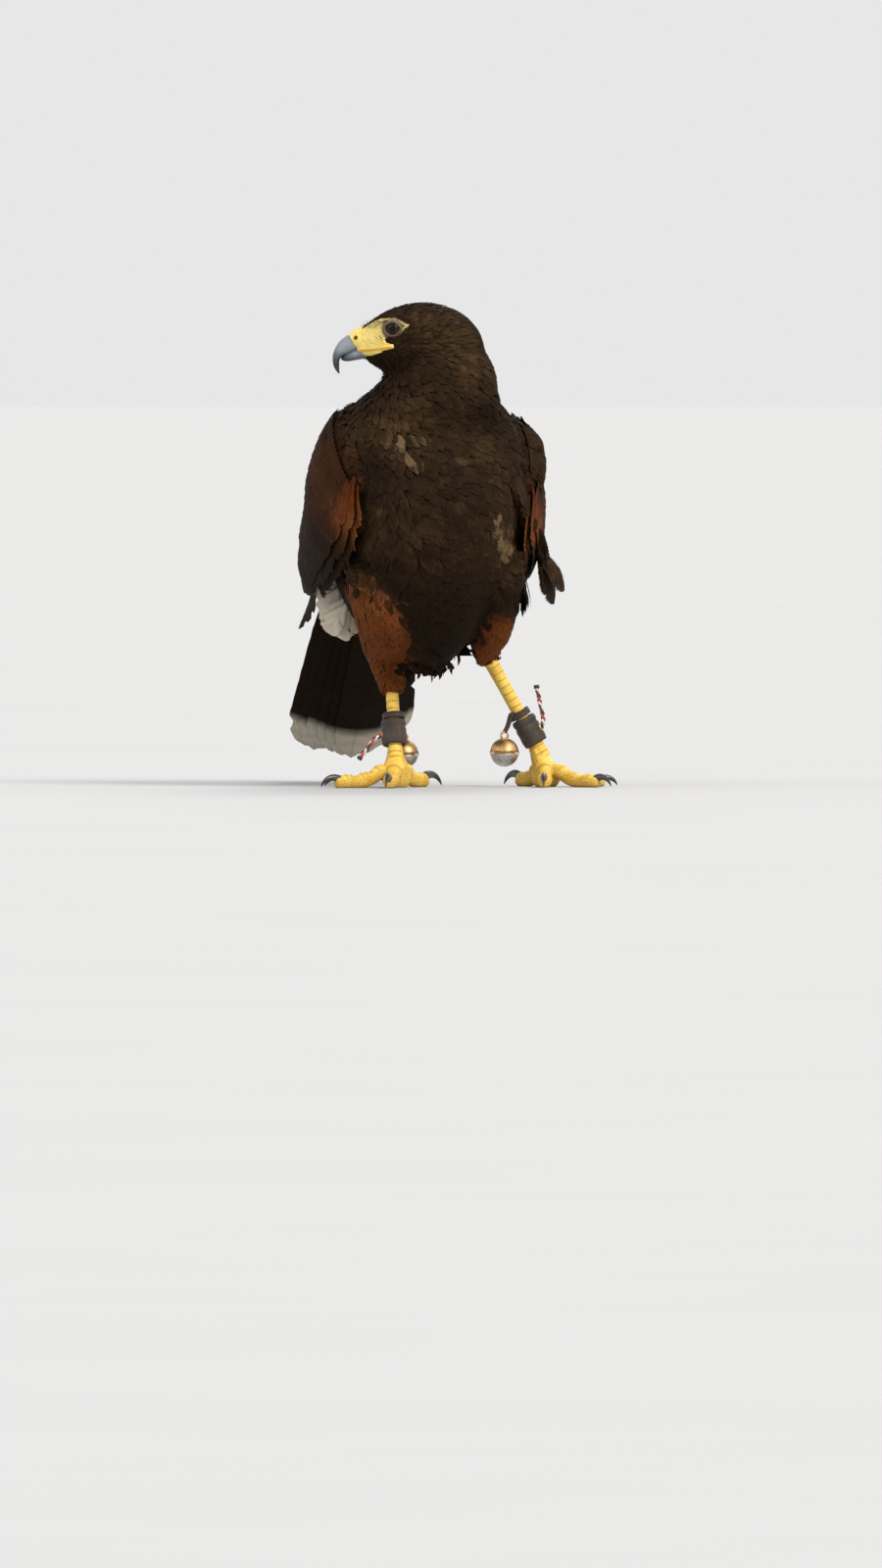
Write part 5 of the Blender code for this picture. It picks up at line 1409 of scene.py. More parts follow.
    # Olive is the orbit's own skin, and painted shade on the upper lore under the brow; shade is painted shade from the
    # brow round the eye and on the upper lore.
    olive = np.maximum(soft(eye_far, 10.5, 8.0), soft(f, 29.5, 24.5) * soft(z, 316.5, 318.5)) * (1 - 0.72 * rim_line)
    shade = 0.88 * np.maximum(soft(eye_far, 9.6, 7.4), soft(f, 29.5, 25) * soft(z, 316.5, 318.5)) * (1 - rim_line)
    for i in range(f.shape[0]):
        for j in range(f.shape[1]):
            if np.isfinite(shell[i, j]):
                index[i, j] = len(points)
                for deep in (0.0, 0.9):
                    points.append(in_head(f[i, j], side * (shell[i, j] - deep), z[i, j]))
                    marks.append((float(soft(gape[i, j], -0.5, 0.8)), float(olive[i, j]), float(shade[i, j]), 1.0))
    cells = [(i, j) for i, j in index if all(n in index for n in ((i + 1, j), (i + 1, j + 1), (i, j + 1)))]
    rim = {}
    for i, j in cells:
        ring = [index[i, j], index[i + 1, j], index[i + 1, j + 1], index[i, j + 1]]
        faces.append(tuple(ring))
        faces.append(tuple(v + 1 for v in ring[::-1]))
        for a, b in zip(ring, ring[1:] + ring[:1]):
            if (b, a) in rim:
                del rim[b, a]
            else:
                rim[a, b] = True
    faces += [(b, a, a + 1, b + 1) for a, b in rim]
    mesh = mesh_of("bare_face_" + name, points, faces)
    add_marks(mesh, marks)
    outwards(mesh)
    mesh.shade_smooth()
    mesh.materials.append(face_skin)
    made = place("bare_face_" + name, mesh)
    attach(made, "root")

# Bristles: stiff dark hairs, thickest over the lore's upper edge and below the eye.
bristle_points, bristle_faces = [], []
for side in (-1, 1):
    for _ in range(260):
        f = rng.uniform(21, 42)
        z = rng.choice((rng.uniform(314.5, 320), rng.uniform(303, 316)), p=(0.78, 0.22))
        if f < 27 and z > 309:
            f, z = rng.uniform(18, 28), rng.uniform(305.5, 309)
        if bareness(f, z) < -0.2:
            continue
        hit = hide_tree.ray_cast(Vector(in_head(f, side * 45, z)), Vector(-HEAD_LEFT * side))
        if hit[0] is None:
            continue
        root, up = np.array(hit[0]), np.array(hit[1])
        heading = unit(HEAD_FORWARD * rng.uniform(0.2, 1.0) + vec(0, 0, 1) * rng.uniform(0.1, 0.9) + up * 0.55)
        long = rng.uniform(2.4, 5.2)
        across = unit(np.cross(heading, up))
        first = len(bristle_points)
        for x in (0.0, 0.35, 0.7):
            at = root + heading * long * x + up * (1.1 * x * (1 - x) * long * 0.25)
            thin = 0.11 * (1 - x)
            for turn in (0, 2.094, 4.189):
                bristle_points.append(at + across * math.cos(turn) * thin + up * math.sin(turn) * thin)
        bristle_points.append(root + heading * long - up * 0.3)
        for k in (0, 3):
            for a in range(3):
                b = (a + 1) % 3
                bristle_faces.append((first + k + a, first + k + b, first + k + 3 + b, first + k + 3 + a))
        bristle_faces += [(first + 6, first + 7, first + 9), (first + 7, first + 8, first + 9),
                          (first + 8, first + 6, first + 9), (first + 2, first + 1, first)]
made, start, shader = finish_of("bristle", 0.5)
start.add("TexCoord", out=3).noise(400.0).mix((0.012, 0.010, 0.009), (0.05, 0.04, 0.03)).into(shader.inputs["Base Color"])
bristles = place("bristles", outwards(mesh_of("bristles", bristle_points, bristle_faces)))
bristles.data.materials.append(made)
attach(bristles, "root")

# Bill
# The cere is a waxy yellow saddle over the root of the bill, with a round nostril on each side.
# Both jaws are sheathed in blue-grey horn, darkest at the hook, that grows in fine bands.

CERE_KEYS = (
    # share, outer f and z, inner f and z, half width
    (0.00, 41.6, 316.4, 41.6, 299.6, 10.4),
    (0.30, 44.6, 315.0, 43.4, 299.7, 9.9),
    (0.60, 47.0, 313.5, 43.9, 299.7, 9.3),
    (0.85, 49.4, 311.8, 44.3, 299.6, 8.5),
    (1.00, 50.9, 310.6, 44.7, 299.6, 7.9),
)
NOSTRIL = (46.2, 9.2, 308.3)
UPPER_BILL_KEYS = (
    # share of length, culmen f and z, inner f and z, half width
    (0.00, 49.6, 310.9, 43.9, 299.3, 7.7),
    (0.10, 52.6, 309.4, 46.2, 298.5, 7.4),
    (0.24, 56.2, 306.7, 49.2, 297.4, 6.8),
    (0.38, 58.9, 303.3, 52.0, 296.5, 6.2),
    (0.55, 61.0, 299.0, 54.9, 295.4, 5.0),
    (0.70, 61.9, 294.4, 56.9, 292.9, 3.6),
    (0.86, 61.3, 289.0, 57.2, 288.6, 2.2),
    (0.95, 59.4, 285.4, 57.2, 285.8, 1.1),
    (1.00, 57.4, 283.4, 56.9, 283.9, 0.3),
)
LOWER_BILL_KEYS = (
    (0.00, 38.0, 302.0, 38.0, 294.0, 8.0),
    (0.35, 44.6, 301.0, 44.8, 292.9, 7.5),
    (0.60, 50.0, 299.2, 50.4, 292.0, 5.9),
    (0.85, 54.0, 297.2, 54.2, 292.2, 3.8),
    (1.00, 56.0, 295.6, 55.8, 293.0, 1.8),
)


def jaw_rings(keys, stations, sides, power, egg):
    rings = []
    for x in np.linspace(0, 1, stations):
        outer_f, outer_z, inner_f, inner_z, half = along(keys, x)
        outer, inner = in_head(outer_f, 0, outer_z), in_head(inner_f, 0, inner_z)
        rings.append(ellipse((outer + inner) / 2, HEAD_LEFT * half, (outer - inner) / 2, sides, power, egg))
    return np.array(rings)


rings = jaw_rings(CERE_KEYS, 60, 160, 2.2, -0.04)
middle = rings.mean(1, keepdims=True)
dark = np.zeros(rings.shape[:2])
for side in (-1, 1):
    far = np.linalg.norm(rings - in_head(NOSTRIL[0], side * NOSTRIL[1], NOSTRIL[2]), axis=-1)
    deep = -2.6 * soft(far, 1.75, 1.15) + 2.1 * soft(far, 0.75, 0.35) + 0.35 * np.exp(-((far - 2.2) / 0.5) ** 2)
    rings = rings + unit(rings - middle) * deep[..., None]
    # Painted shade: the nostril's hollow is darkened round its light central knob.
    dark = np.maximum(dark, soft(far, 1.75, 1.35) * soft(far, 0.45, 0.75))
cere = grid_mesh("wax_cere", rings)
dark = np.concatenate([dark.ravel()])
add_marks(cere, np.column_stack([np.full(len(dark), 0.12), np.zeros(len(dark)), dark, np.ones(len(dark))]))
cere.materials.append(face_skin)
wax_cere = place("wax_cere", cere)
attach(wax_cere, "root")
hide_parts("cere")


def horn_finish(name, base, tip, low, high):
    """Horn from one colour to another along its growth, which the Grow map counts from 0 to 1."""
    made, start, shader = finish_of(name, 0.28, Coat_Weight=0.25, Coat_Roughness=0.2)
    grow = start.add("UVMap", {"uv_map": "Grow"})
    parts = grow.add("SeparateXYZ", {}, {0: grow})
    share = Wire(parts.tree, parts.socket.node.outputs[1])
    place_at = start.add("TexCoord", out=3)
    cloud = place_at.noise(170.0, 4.0, 0.6)
    lines = parts.add("CombineXYZ", {}, {0: parts * 7.0, 1: share * 55.0}).noise(1.0, 3.0, 0.6)
    flakes = parts.add("CombineXYZ", {}, {0: parts * 40.0, 1: share * 6.0}).noise(1.0, 3.0, 0.6)
    colour = (share + cloud * 0.30 - 0.15).ramp(low, high).mix(base, tip)
    colour = (lines.ramp(0.55, 0.8) * 0.4).mix(colour, tuple(min(c * 1.9 + 0.01, 1) for c in base))
    colour = (flakes.ramp(0.6, 0.85) * 0.4).mix(colour, tuple(c * 0.5 for c in tip))
    colour.into(shader.inputs["Base Color"])
    (0.22 + cloud * 0.16 + lines * 0.10).into(shader.inputs["Roughness"])
    bumped(start, shader, lines + flakes * 0.6 + cloud * 0.4, 0.25, 0.0003)
    return made


def grown(name, rings, finish, node):
    """A horn piece from rings, whose map runs round it and along its growth."""
    rings = np.array(rings)
    mesh = grid_mesh(name, rings)
    count, sides = rings.shape[:2]
    around = np.tile(np.abs(np.linspace(-1, 1, sides, endpoint=False)), count)
    growth = np.repeat(np.linspace(0, 1, count), sides)
    layer = mesh.uv_layers.new(name="Grow")
    corner = np.empty(len(mesh.loops), np.int32)
    mesh.loops.foreach_get("vertex_index", corner)
    layer.data.foreach_set("uv", np.column_stack([around, growth])[corner].astype(np.float32).ravel())
    mesh.materials.append(finish)
    made = place(name, mesh)
    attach(made, "root")
    if node:
        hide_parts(node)
    return made


bill_horn = horn_finish("bill_horn", (0.20, 0.225, 0.25), (0.018, 0.018, 0.020), 0.35, 0.85)
grown("bill_upper", jaw_rings(UPPER_BILL_KEYS, 90, 96, 2.1, -0.16), bill_horn, "beak_upper")
grown("bill_lower", jaw_rings(LOWER_BILL_KEYS, 40, 72, 2.1, 0.05), bill_horn, "beak_lower")

# Legs
# Bare yellow shanks and feet. A row of overlapping shields runs down the front of the shank and
# along the top of each toe, small round scales cover the rest, and the toes' pads rest on the
# floor. Shank, foot and toes are one skin, and each toe ends in its own claw.

SHANK_RADIUS = 4.5
SHANK_FRONT = {"right": vec(-0.4, -0.9, 0), "left": vec(0.3, -0.95, 0)}
SHANK_SHIELD = 5.2
TOE_SHIELD = 3.3
LEG_VOXEL = 0.55
TOE_KEYS = {
    # length, radius at the root, radius at the tip, claw length, claw radius
    "middle": (42, 5.2, 4.3, 18, 3.0),
    "outer": (34, 4.7, 3.9, 15, 2.7),
    "inner": (31, 5.2, 4.5, 21, 3.4),
    "hind": (24, 5.4, 4.7, 23, 3.7),
}
# Each toe's direction on the floor, in degrees from the photograph's right towards its back.
TOE_TURN = {
    "right": {"middle": -149, "outer": 172, "inner": -98, "hind": 48},
    "left": {"middle": -42, "outer": 8, "inner": -92, "hind": 128},
}
TOE_PADS = 3
TOE_HUMP = 5.5
TOE_SINK = 0.45
FOOT_KEYS = (
    # height, radius, how far it follows the shank's slope
    (-1.0, 5.6, 0),
    (1.6, 8.4, 0),
    (6.0, 10.2, 0),
    (12.0, 9.4, 0.2),
    (18.0, 7.4, 0.9),
    (22.0, 6.0, 1.0),
    (27.0, 5.2, 1.0),
)
CLAW_BEND = math.radians(112)
CLAW_POINT_HEIGHT = 0.9


def floor_direction(degrees):
    angle = math.radians(degrees - 14)
    return vec(math.cos(angle), math.sin(angle), 0)


def shank_point(name, share):
    """share 0 at the ball of the foot and 1 at the hock."""
    return BALL[name] + (HOCK[name] - BALL[name]) * share


def toe_line(name, toe, count=80):
    """The toe's middle and radii, down from the ball of the foot and flat to its end."""
    length, radius, tip_radius = TOE_KEYS[toe][:3]
    out = floor_direction(TOE_TURN[name][toe])
    x = np.linspace(0, 1, count)
    hump = TOE_HUMP * np.exp(-((x - 0.16) / 0.22) ** 2)
    radii = (radius + (tip_radius - radius) * x) * (1 - 0.09 * np.cos(2 * math.pi * x * TOE_PADS))
    middle = vec(BALL[name][0], BALL[name][1], 0) + out * (5 + length * x)[:, None]
    middle[:, 2] = radii - TOE_SINK + hump
    return middle, radii, out


def leg_finish():
    """Yellow scaly skin: red marks grooves between shields, green the shields and blue the soles."""
    made, start, shader = finish_of("scaly_skin", 0.42, Subsurface_Weight=0.08, Subsurface_Scale=0.002)
    marks = start.add("VertexColor", {"layer_name": "Marks"})
    parts = marks.add("SeparateColor", {}, {0: marks})
    groove, shield, sole = (Wire(parts.tree, parts.socket.node.outputs[k]) for k in range(3))
    place_at = start.add("TexCoord", out=3)
    cloud = place_at.noise(120.0, 3.0, 0.6)
    fine = place_at.noise(1500.0, 3.0, 0.6)
    scales = place_at.add("TexVoronoi", {"feature": "DISTANCE_TO_EDGE"}, {"Vector": place_at, "Scale": 780.0})
    cell = scales.ramp(0.02, 0.20)
    between = (1 - cell) * (1 - shield * 0.85)
    colour = cloud.ramp(0.3, 0.7).mix((0.74, 0.44, 0.035), (0.86, 0.60, 0.10))
    colour = (between * 0.55 + groove * 0.7).mix(colour, (0.33, 0.16, 0.030))
    colour = (sole * 0.6).mix(colour, (0.42, 0.27, 0.10))
    colour = (fine.ramp(0.62, 0.85) * 0.35).mix(colour, (0.30, 0.19, 0.08))
    colour.into(shader.inputs["Base Color"])
    (0.34 + cloud * 0.2 + between * 0.15).into(shader.inputs["Roughness"])
    bumped(start, shader, cell * (1 - shield * 0.8) + fine * 0.35 + cloud * 0.3, 0.6, 0.0006)
    return made


scaly_skin = leg_finish()
claw_horn = horn_finish("claw_horn", (0.050, 0.050, 0.054), (0.008, 0.008, 0.009), 0.15, 0.75)

for name in SIDES:
    top, bottom = shank_point(name, 1.06), shank_point(name, 0.05)
    ahead = unit(bottom - top)
    front = SHANK_FRONT[name]
    front = unit(front - ahead * (front @ ahead))
    across = np.cross(ahead, front)
    rings = []
    for x in np.linspace(0, 1, 60):
        reach = SHANK_RADIUS * (1 + 0.28 * abs(2 * x - 1) ** 3)
        rings.append(ellipse(top + (bottom - top) * x, front * reach * 1.14, across * reach * 0.96, 36))
    parts = [loft(rings)]
    rise = unit(HOCK[name] - BALL[name])
    rings = []
    for x in np.linspace(FOOT_KEYS[0][0], FOOT_KEYS[-1][0], 30):
        half, lean = along(FOOT_KEYS, x)
        centre = vec(BALL[name][0], BALL[name][1], x)
        centre[:2] += rise[:2] * max(x - BALL[name][2] + 6, 0) * lean * 0.9
        rings.append(ellipse(centre, vec(half, 0, 0), vec(0, half, 0), 40))
    parts.append(loft(rings))
    lines, ups, arcs, pitches = [], [], [], []
    for toe in TOE_KEYS:
        middle, radii, out = toe_line(name, toe)
        ends = np.concatenate([middle[:1] - out * 3, middle, middle[-1:] + out * np.array([[1.6]]), middle[-1:] + out * 2.4])
        reach = np.concatenate([radii[:1], radii, radii[-1:] * 0.8, radii[-1:] * 0.45])
        parts.append(loft(tube_rings(ends, reach, 32)))
        lines.append(middle)
        ups.append(np.tile(vec(0, 0, 1), (len(middle), 1)))
        arcs.append(np.linalg.norm(middle - middle[0], axis=1) / TOE_SHIELD)
    shares = np.linspace(0, 1, 240)[:, None]
    lines.append(top + (bottom - top) * shares)
    ups.append(np.tile(front, (240, 1)))
    arcs.append(shares[:, 0] * np.linalg.norm(bottom - top) / SHANK_SHIELD)
    lines, ups, arcs = np.concatenate(lines), np.concatenate(ups), np.concatenate(arcs)
    leg = remeshed("leg_" + name, parts, LEG_VOXEL)
    points = neighbours_mean(leg, points_of(leg), 5)
    leg.vertices.foreach_set("co", ((points + ORIGIN) * MM).ravel())
    leg.update()
    normals = normals_of(leg)
    finder = KDTree(len(lines))
    for i, p in enumerate(lines):
        finder.insert(p, i)
    finder.balance()
    found = np.array([finder.find(p)[1] for p in points])
    facing = (unit(points - lines[found]) * ups[found]).sum(1)
    x = arcs[found] % 1
    shield = soft(facing, 0.25, 0.62)
    groove = np.maximum(np.exp(-(x / 0.09) ** 2), np.exp(-((x - 1) / 0.06) ** 2)) * shield
    rise_by = shield * (0.42 * x ** 1.3 + 0.10) - 0.38 * groove
    rise_by -= 0.30 * np.exp(-((facing - 0.36) / 0.07) ** 2)
    points = points + normals * rise_by[:, None]
    points[:, 2] = np.maximum(points[:, 2], 0.02)
    leg.vertices.foreach_set("co", ((points + ORIGIN) * MM).ravel())
    leg.update()
    leg.shade_smooth()
    sole = soft(points[:, 2], 2.2, 0.4)
    add_marks(leg, np.column_stack([groove, shield, sole, np.ones(len(points))]))
    leg.materials.append(scaly_skin)
    made = place("leg_" + name, leg)
    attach(made, "root")
    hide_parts("shank_" + name, "foot_" + name)
    for toe in TOE_KEYS:
        middle, radii, out = toe_line(name, toe)
        length, radius = TOE_KEYS[toe][3:]
        start = middle[-1] - out * 2.2
        start[2] = radii[-1] + 0.9
        arc = (length + 1.0) / CLAW_BEND
        lift = CLAW_BEND / 2 + math.asin((CLAW_POINT_HEIGHT - start[2]) / (2 * arc * math.sin(CLAW_BEND / 2)))
        rings = []
        for x in np.linspace(0, 1, 44):
            angle = lift - CLAW_BEND * x
            centre = start + out * arc * (math.sin(lift) - math.sin(angle))
            centre[2] += arc * (math.cos(angle) - math.cos(lift))
            over = unit(out * -math.sin(angle) + vec(0, 0, math.cos(angle)))
            r = radius * (1 - x) ** 0.72 + 0.12
            rings.append(ellipse(centre, np.cross(vec(0, 0, 1), out) * r * 0.80, over * r, 28, 2.0, -0.08))
        grown("talon_%s_%s" % (name, toe), rings, claw_horn, "claw_%s_%s" % (name, toe))

# Leg gear
# Each shank wears a cuff of dark oiled leather, wrapped over itself and closed by a brass eyelet,
# and above it a narrow strap whose tail carries a round bell. A short plait stands from the eyelet.

CUFF_LOW, CUFF_HIGH = 0.17, 0.40
BAND_LOW, BAND_HIGH = 0.415, 0.47
SHANK_REACH = SHANK_RADIUS * 1.2 + 0.8
BELL_RADIUS = 10
BELL_PLACE = {"right": vec(-10, 12, 23), "left": vec(56, -10, 24)}
EYELET_SHARE = 0.27
EYELET_TURN = {"right": -178, "left": -4}
JESS_LENGTH = {"right": 21, "left": 28}
JESS_LEAN = {"right": (-0.62, 0.0, -0.78), "left": (-0.2, 0.05, 0.95)}


def leather_finish():
    made, start, shader = finish_of("oiled_leather", 0.5, Coat_Weight=0.08, Coat_Roughness=0.4)
    place_at = start.add("TexCoord", out=3)
    cloud = place_at.noise(90.0, 4.0, 0.6)
    grain = place_at.add("TexVoronoi", {"feature": "DISTANCE_TO_EDGE"}, {"Vector": place_at, "Scale": 1300.0})
    rub = place_at.noise(420.0, 4.0, 0.7)
    colour = cloud.ramp(0.3, 0.7).mix((0.018, 0.012, 0.009), (0.055, 0.034, 0.022))
    colour = (rub.ramp(0.58, 0.78) * 0.5).mix(colour, (0.15, 0.10, 0.068))
    colour.into(shader.inputs["Base Color"])
    (0.38 + cloud * 0.25 + rub * 0.1).into(shader.inputs["Roughness"])
    bumped(start, shader, grain.ramp(0.0, 0.25) + rub * 0.7, 0.5, 0.0004)
    return made


def metal_finish(name, bright, dull, roughness):
    """Cast metal, tarnished in clouds and finely scratched."""
    made, start, shader = finish_of(name, roughness, Metallic=1.0)
    place_at = start.add("TexCoord", out=3)
    cloud = place_at.noise(150.0, 4.0, 0.65)
    scratch = place_at.add("Mapping", {}, {0: place_at, "Scale": (300.0, 300.0, 2400.0)}).noise(1.0, 3.0, 0.6)
    cloud.ramp(0.35, 0.68).mix(bright, dull).into(shader.inputs["Base Color"])
    (roughness - 0.10 + cloud * 0.30 + scratch * 0.08).into(shader.inputs["Roughness"])
    bumped(start, shader, scratch * 0.6 + cloud, 0.15, 0.0003)
    return made


def plain_piece(name, mesh, finish, node):
    mesh.shade_smooth()
    if not mesh.materials:
        mesh.materials.append(finish)
    made = place(name, mesh)
    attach(made, "root")
    if node:
        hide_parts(node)
    return made


def ring_mesh(name, rings):
    """A closed mesh from rings that meet end to start."""
    rings = np.array(rings)
    count, sides = rings.shape[:2]
    points, faces = loft(np.concatenate([rings, rings[:1]]))
    faces = [tuple(v % (count * sides) for v in face) for face in faces[:-2]]
    return outwards(mesh_of(name, points[:count * sides], faces))


leather = leather_finish()
brass = metal_finish("aged_brass", (0.72, 0.46, 0.20), (0.36, 0.21, 0.09), 0.34)
nickel = metal_finish("dull_nickel", (0.62, 0.60, 0.56), (0.34, 0.32, 0.29), 0.32)
strands = {}
for name, low, high in (("red", (0.36, 0.02, 0.018), (0.55, 0.06, 0.05)), ("white", (0.55, 0.52, 0.47), (0.75, 0.73, 0.68)),
                        ("black", (0.012, 0.012, 0.014), (0.05, 0.05, 0.055))):
    made, start, shader = finish_of("plait_" + name, 0.8, Sheen_Weight=0.3)
    place_at = start.add("TexCoord", out=3)
    fibre = place_at.noise(1800.0, 4.0, 0.7)
    fibre.ramp(0.3, 0.7).mix(low, high).into(shader.inputs["Base Color"])
    bumped(start, shader, fibre, 0.6, 0.0003)
    strands[name] = made


def wrapped(name, share_low, share_high, wall, overlap, turn):
    """A strap wrapped round the shank: a thick closed band whose outer end laps over the inner."""
    axis = unit(HOCK[name] - BALL[name])
    across = unit(np.cross(axis, floor_direction(turn)))
    out = np.cross(across, axis)
    profile = []
    for x in np.linspace(0, 1, 22):
        edge = min(x, 1 - x)
        swell = wall * (0.72 + 0.28 * float(soft(edge, 0.0, 0.10)))
        pinch = 0.55 * math.exp(-((x - 0.74) / 0.05) ** 2) + 0.12 * math.sin(x * 19)
        profile.append((share_low + (share_high - share_low) * x, SHANK_REACH + swell - pinch * min(1, wall / 2)))
    for x in np.linspace(1, 0, 8):
        profile.append((share_low + (share_high - share_low) * x, SHANK_REACH - 0.35))
    rings = []
    for a in np.linspace(0, 2 * math.pi, 145)[:-1]:
        lap = overlap * float(soft(math.cos(a - 0.9), 0.20, 0.34))
        wave = 0.18 * math.sin(3 * a + 1) + 0.10 * math.sin(7 * a)
        ring = []
        for k, (share, reach) in enumerate(profile):
            more = (lap + wave) if k < 22 else 0
            ring.append(shank_point(name, share) + (out * math.cos(a) + across * math.sin(a)) * (reach + more))
        rings.append(ring)
    return rings


for name in SIDES:
    turn = EYELET_TURN[name]
    plain_piece("cuff_" + name, ring_mesh("cuff_" + name, wrapped(name, CUFF_LOW, CUFF_HIGH, 2.0, 0.7, turn)),
                leather, "anklet_" + name)

    # The bell's strap: a band and a flat tail that hangs over its loop.
    centre = BELL_PLACE[name]
    loop = centre + vec(0, 0, BELL_RADIUS + 3.6)
    start_at = shank_point(name, (BAND_LOW + BAND_HIGH) / 2)
    away = unit((loop - start_at) * (1, 1, 0))
    edge = start_at + away * SHANK_REACH
    keys = [(0, *(start_at + away * 4)), (0.3, *(edge + away * 2.2)), (0.65, *(edge * 0.4 + loop * 0.6)), (1, *loop)]
    path = np.array([along(keys, x) for x in np.linspace(0, 1, 40)])
    tail_rings = []
    for p, a in zip(path, unit(np.gradient(path, axis=0))):
        side_to = unit(np.cross(vec(0, 0, 1), away))
        tail_rings.append(ellipse(p, side_to * 2.0, unit(np.cross(a, side_to)) * 0.85, 24, 3.2))
    band = ring_mesh("band", wrapped(name, BAND_LOW, BAND_HIGH, 1.5, 0.4, turn + 120))
    strap = bmesh.new()
    strap.from_mesh(band)
    strap.from_mesh(outwards(mesh_of("tail", *loft(tail_rings))))
    both = bpy.data.meshes.new("bell_strap_" + name)
    strap.to_mesh(both)
    strap.free()
    plain_piece("bell_strap_" + name, both, leather, "bewit_" + name)

    # Bell: two pressed halves joined at a rolled rim, with a slot across the front.
    rings, upper = [], []
    turns = np.linspace(0, 2 * math.pi, 129)[:-1]
    for a in np.linspace(0.03, math.pi - 0.03, 120):
        height = math.cos(a)
        rim = 0.42 * math.exp(-(height * BELL_RADIUS / 0.9) ** 2)
        ring = []
        for b in turns:
            facing = math.cos(b - math.radians(-90 - 14))
            slot = float(soft(abs(height * BELL_RADIUS), 1.0, 0.65) * soft(facing, 0.30, 0.36))
            hole = float(soft(math.hypot(height * BELL_RADIUS, (abs(b - math.radians(256)) - 1.22) * BELL_RADIUS), 1.9, 1.4))
            r = BELL_RADIUS * 0.985 + rim - 3.0 * max(slot, hole)
            ring.append(centre + vec(math.cos(b) * math.sin(a), math.sin(b) * math.sin(a), height) * r)
        rings.append(ring)
    bell = grid_mesh("bell", rings)
    bell.materials.append(brass)
    bell.materials.append(nickel)
    for face in bell.polygons:
        face.material_index = int(face.center.z / MM < centre[2] - 0.4)
    shell = bmesh.new()
    shell.from_mesh(bell)
    hoop = []
    for b in np.linspace(0, 2 * math.pi, 49)[:-1]:
        out = vec(math.cos(b), 0, math.sin(b))
        hoop.append(ellipse(centre + vec(0, 0, BELL_RADIUS + 1.6) + out * 2.4, out * 0.75, vec(0, 0.75, 0), 14))
    shell.from_mesh(ring_mesh("hoop", hoop))
    shell.to_mesh(bell)
    shell.free()
    plain_piece("round_bell_" + name, bell, brass, "bell_" + name)

    # Eyelet: a rolled brass ring pressed through the cuff.
    axis = unit(HOCK[name] - BALL[name])
    out = floor_direction(turn)
    out = unit(out - axis * (out @ axis))
    across = np.cross(axis, out)
    face = shank_point(name, EYELET_SHARE) + out * (SHANK_REACH + 2.2)
    rings = []
    for b in np.linspace(0, 2 * math.pi, 65)[:-1]:
        away = across * math.cos(b) + axis * math.sin(b)
        rings.append(ellipse(face + away * 2.35 + out * 0.1, away * 0.95, out * 0.75, 20))
    plain_piece("brass_eyelet_" + name, ring_mesh("brass_eyelet_" + name, rings), brass, "eyelet_" + name)

    # Jess: three cords plaited flat, whipped at the outer end.
    lean = JESS_LEAN[name]
    lean = unit(floor_direction(0) * lean[0] + floor_direction(90) * lean[1] + vec(0, 0, lean[2]))
    begin = face + out * 0.2
    x = np.linspace(0, 1, 160)[:, None]
    path = begin + out * (3.2 * np.minimum(x * 4, 1) ** 0.5) + lean * JESS_LENGTH[name] * x * np.minimum(0.3 + x * 1.5, 1)
    ahead = unit(np.gradient(path, axis=0))
    wide = unit(np.cross(ahead, out + across * 0.3))
    deep = np.cross(wide, ahead)
    plait = bmesh.new()
    finishes = list(strands)
    for k, colour in enumerate(finishes):
        phase = x * JESS_LENGTH[name] * 0.62 + k * 2 * math.pi / 3
        cord = path + wide * 1.25 * np.sin(phase) + deep * 0.62 * np.sin(2 * phase)
        one = outwards(mesh_of("cord", *loft(tube_rings(cord, np.full(160, 0.92), 14, 0.85))))
        first = len(plait.faces)
        plait.from_mesh(one)
        plait.faces.ensure_lookup_table()
        for f in plait.faces[first:]:
            f.material_index = k
    whip = tube_rings(path[-14:], np.full(14, 2.25) + 0.12 * np.sin(np.arange(14) * 2.4), 24, 0.9)
    first = len(plait.faces)
    plait.from_mesh(outwards(mesh_of("whip", *loft(whip))))
    plait.faces.ensure_lookup_table()
    for f in plait.faces[first:]:
        f.material_index = 2
    mesh = bpy.data.meshes.new("plaited_jess_" + name)
    plait.to_mesh(mesh)
    plait.free()
    for colour in finishes:
        mesh.materials.append(strands[colour])
    plain_piece("plaited_jess_" + name, mesh, strands["red"], "jess_" + name)

# Studio
# A wide pale floor under an even sky, with a warm soft key light from the camera's right and a
# weaker cool one on the left. The camera stands far off and low, with a long lens.

FLOOR_COLOUR = (0.502, 0.509, 0.524)
VIEW = math.radians(-14)
VIEW_UP = math.radians(1.0)
VIEW_FAR = 20.0
VIEW_HEIGHT = 1.088                # what the picture's height takes in at the bird, in metres

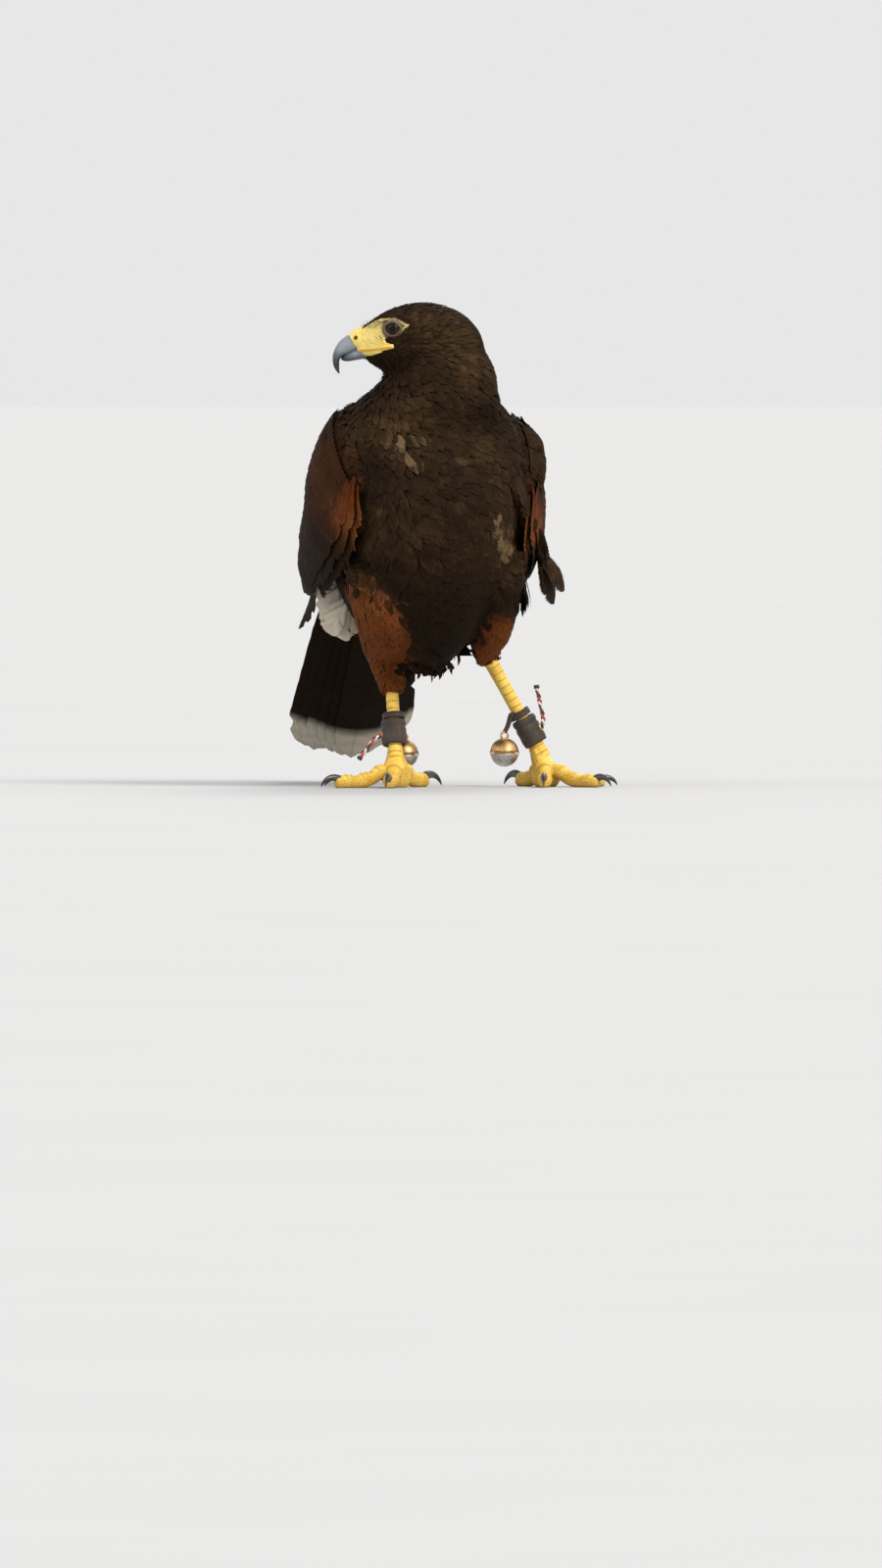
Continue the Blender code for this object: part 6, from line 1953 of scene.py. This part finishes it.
rings = [[vec(math.cos(a), math.sin(a), 0) * r / MM - ORIGIN for a in np.linspace(0, 2 * math.pi, 65)[:-1]]
         for r in (60.0, 8.0, 2.0, 0.5)]
points, faces = loft(rings)
floor = place("floor", mesh_of("floor", points, faces[:-2] + [faces[-1]]))
made, start, shader = finish_of("pale_floor", 0.8)
start.add("TexCoord", out=3).noise(3.0, 2.0).ramp(0.2, 0.8).mix(FLOOR_COLOUR, tuple(c * 0.97 for c in FLOOR_COLOUR)).into(
    shader.inputs["Base Color"])
floor.data.materials.append(made)
floor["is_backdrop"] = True


def soft_sun(name, turn, rise, power, colour, angle):
    """An even light from far off, turned that many degrees from the camera's direction."""
    a, e = VIEW + math.radians(turn), math.radians(rise)
    towards = Vector((math.sin(a) * math.cos(e), -math.cos(a) * math.cos(e), math.sin(e)))
    light = bpy.data.lights.new(name, "SUN")
    light.energy, light.color, light.angle = power, colour, math.radians(angle)
    made = place(name, light)
    made.location = towards * 3
    made.rotation_euler = (-towards).to_track_quat("-Z", "Y").to_euler()


soft_sun("key", 42, 38, 2.5, (1.0, 0.94, 0.85), 22)
soft_sun("fill", -60, 25, 0.6, (0.90, 0.95, 1.0), 45)
soft_sun("rim", 165, 45, 0.9, (1.0, 0.97, 0.93), 30)
world = bpy.data.worlds.new("studio")
bpy.context.scene.world = world
world.use_nodes = True
world.node_tree.nodes["Background"].inputs["Color"].default_value = (0.95, 0.95, 0.95, 1)
world.node_tree.nodes["Background"].inputs["Strength"].default_value = 0.84
bpy.context.scene.view_settings.view_transform = "Standard"

view_right = vec(math.cos(VIEW), math.sin(VIEW), 0)
view_back = vec(math.sin(VIEW) * math.cos(VIEW_UP), -math.cos(VIEW) * math.cos(VIEW_UP), math.sin(VIEW_UP))
camera = place("camera", bpy.data.cameras.new("camera"))
camera.data.sensor_width = 36
camera.data.lens = 36 * VIEW_FAR / VIEW_HEIGHT
camera.data.clip_start, camera.data.clip_end = 1, 120
aim = Vector(view_right * 0.0053 + vec(0, 0, 0.0008))
camera.location = aim + Vector(view_back) * VIEW_FAR
camera.rotation_euler = Vector(-view_back).to_track_quat("-Z", "Y").to_euler()
bpy.context.scene.camera = camera

low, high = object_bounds()
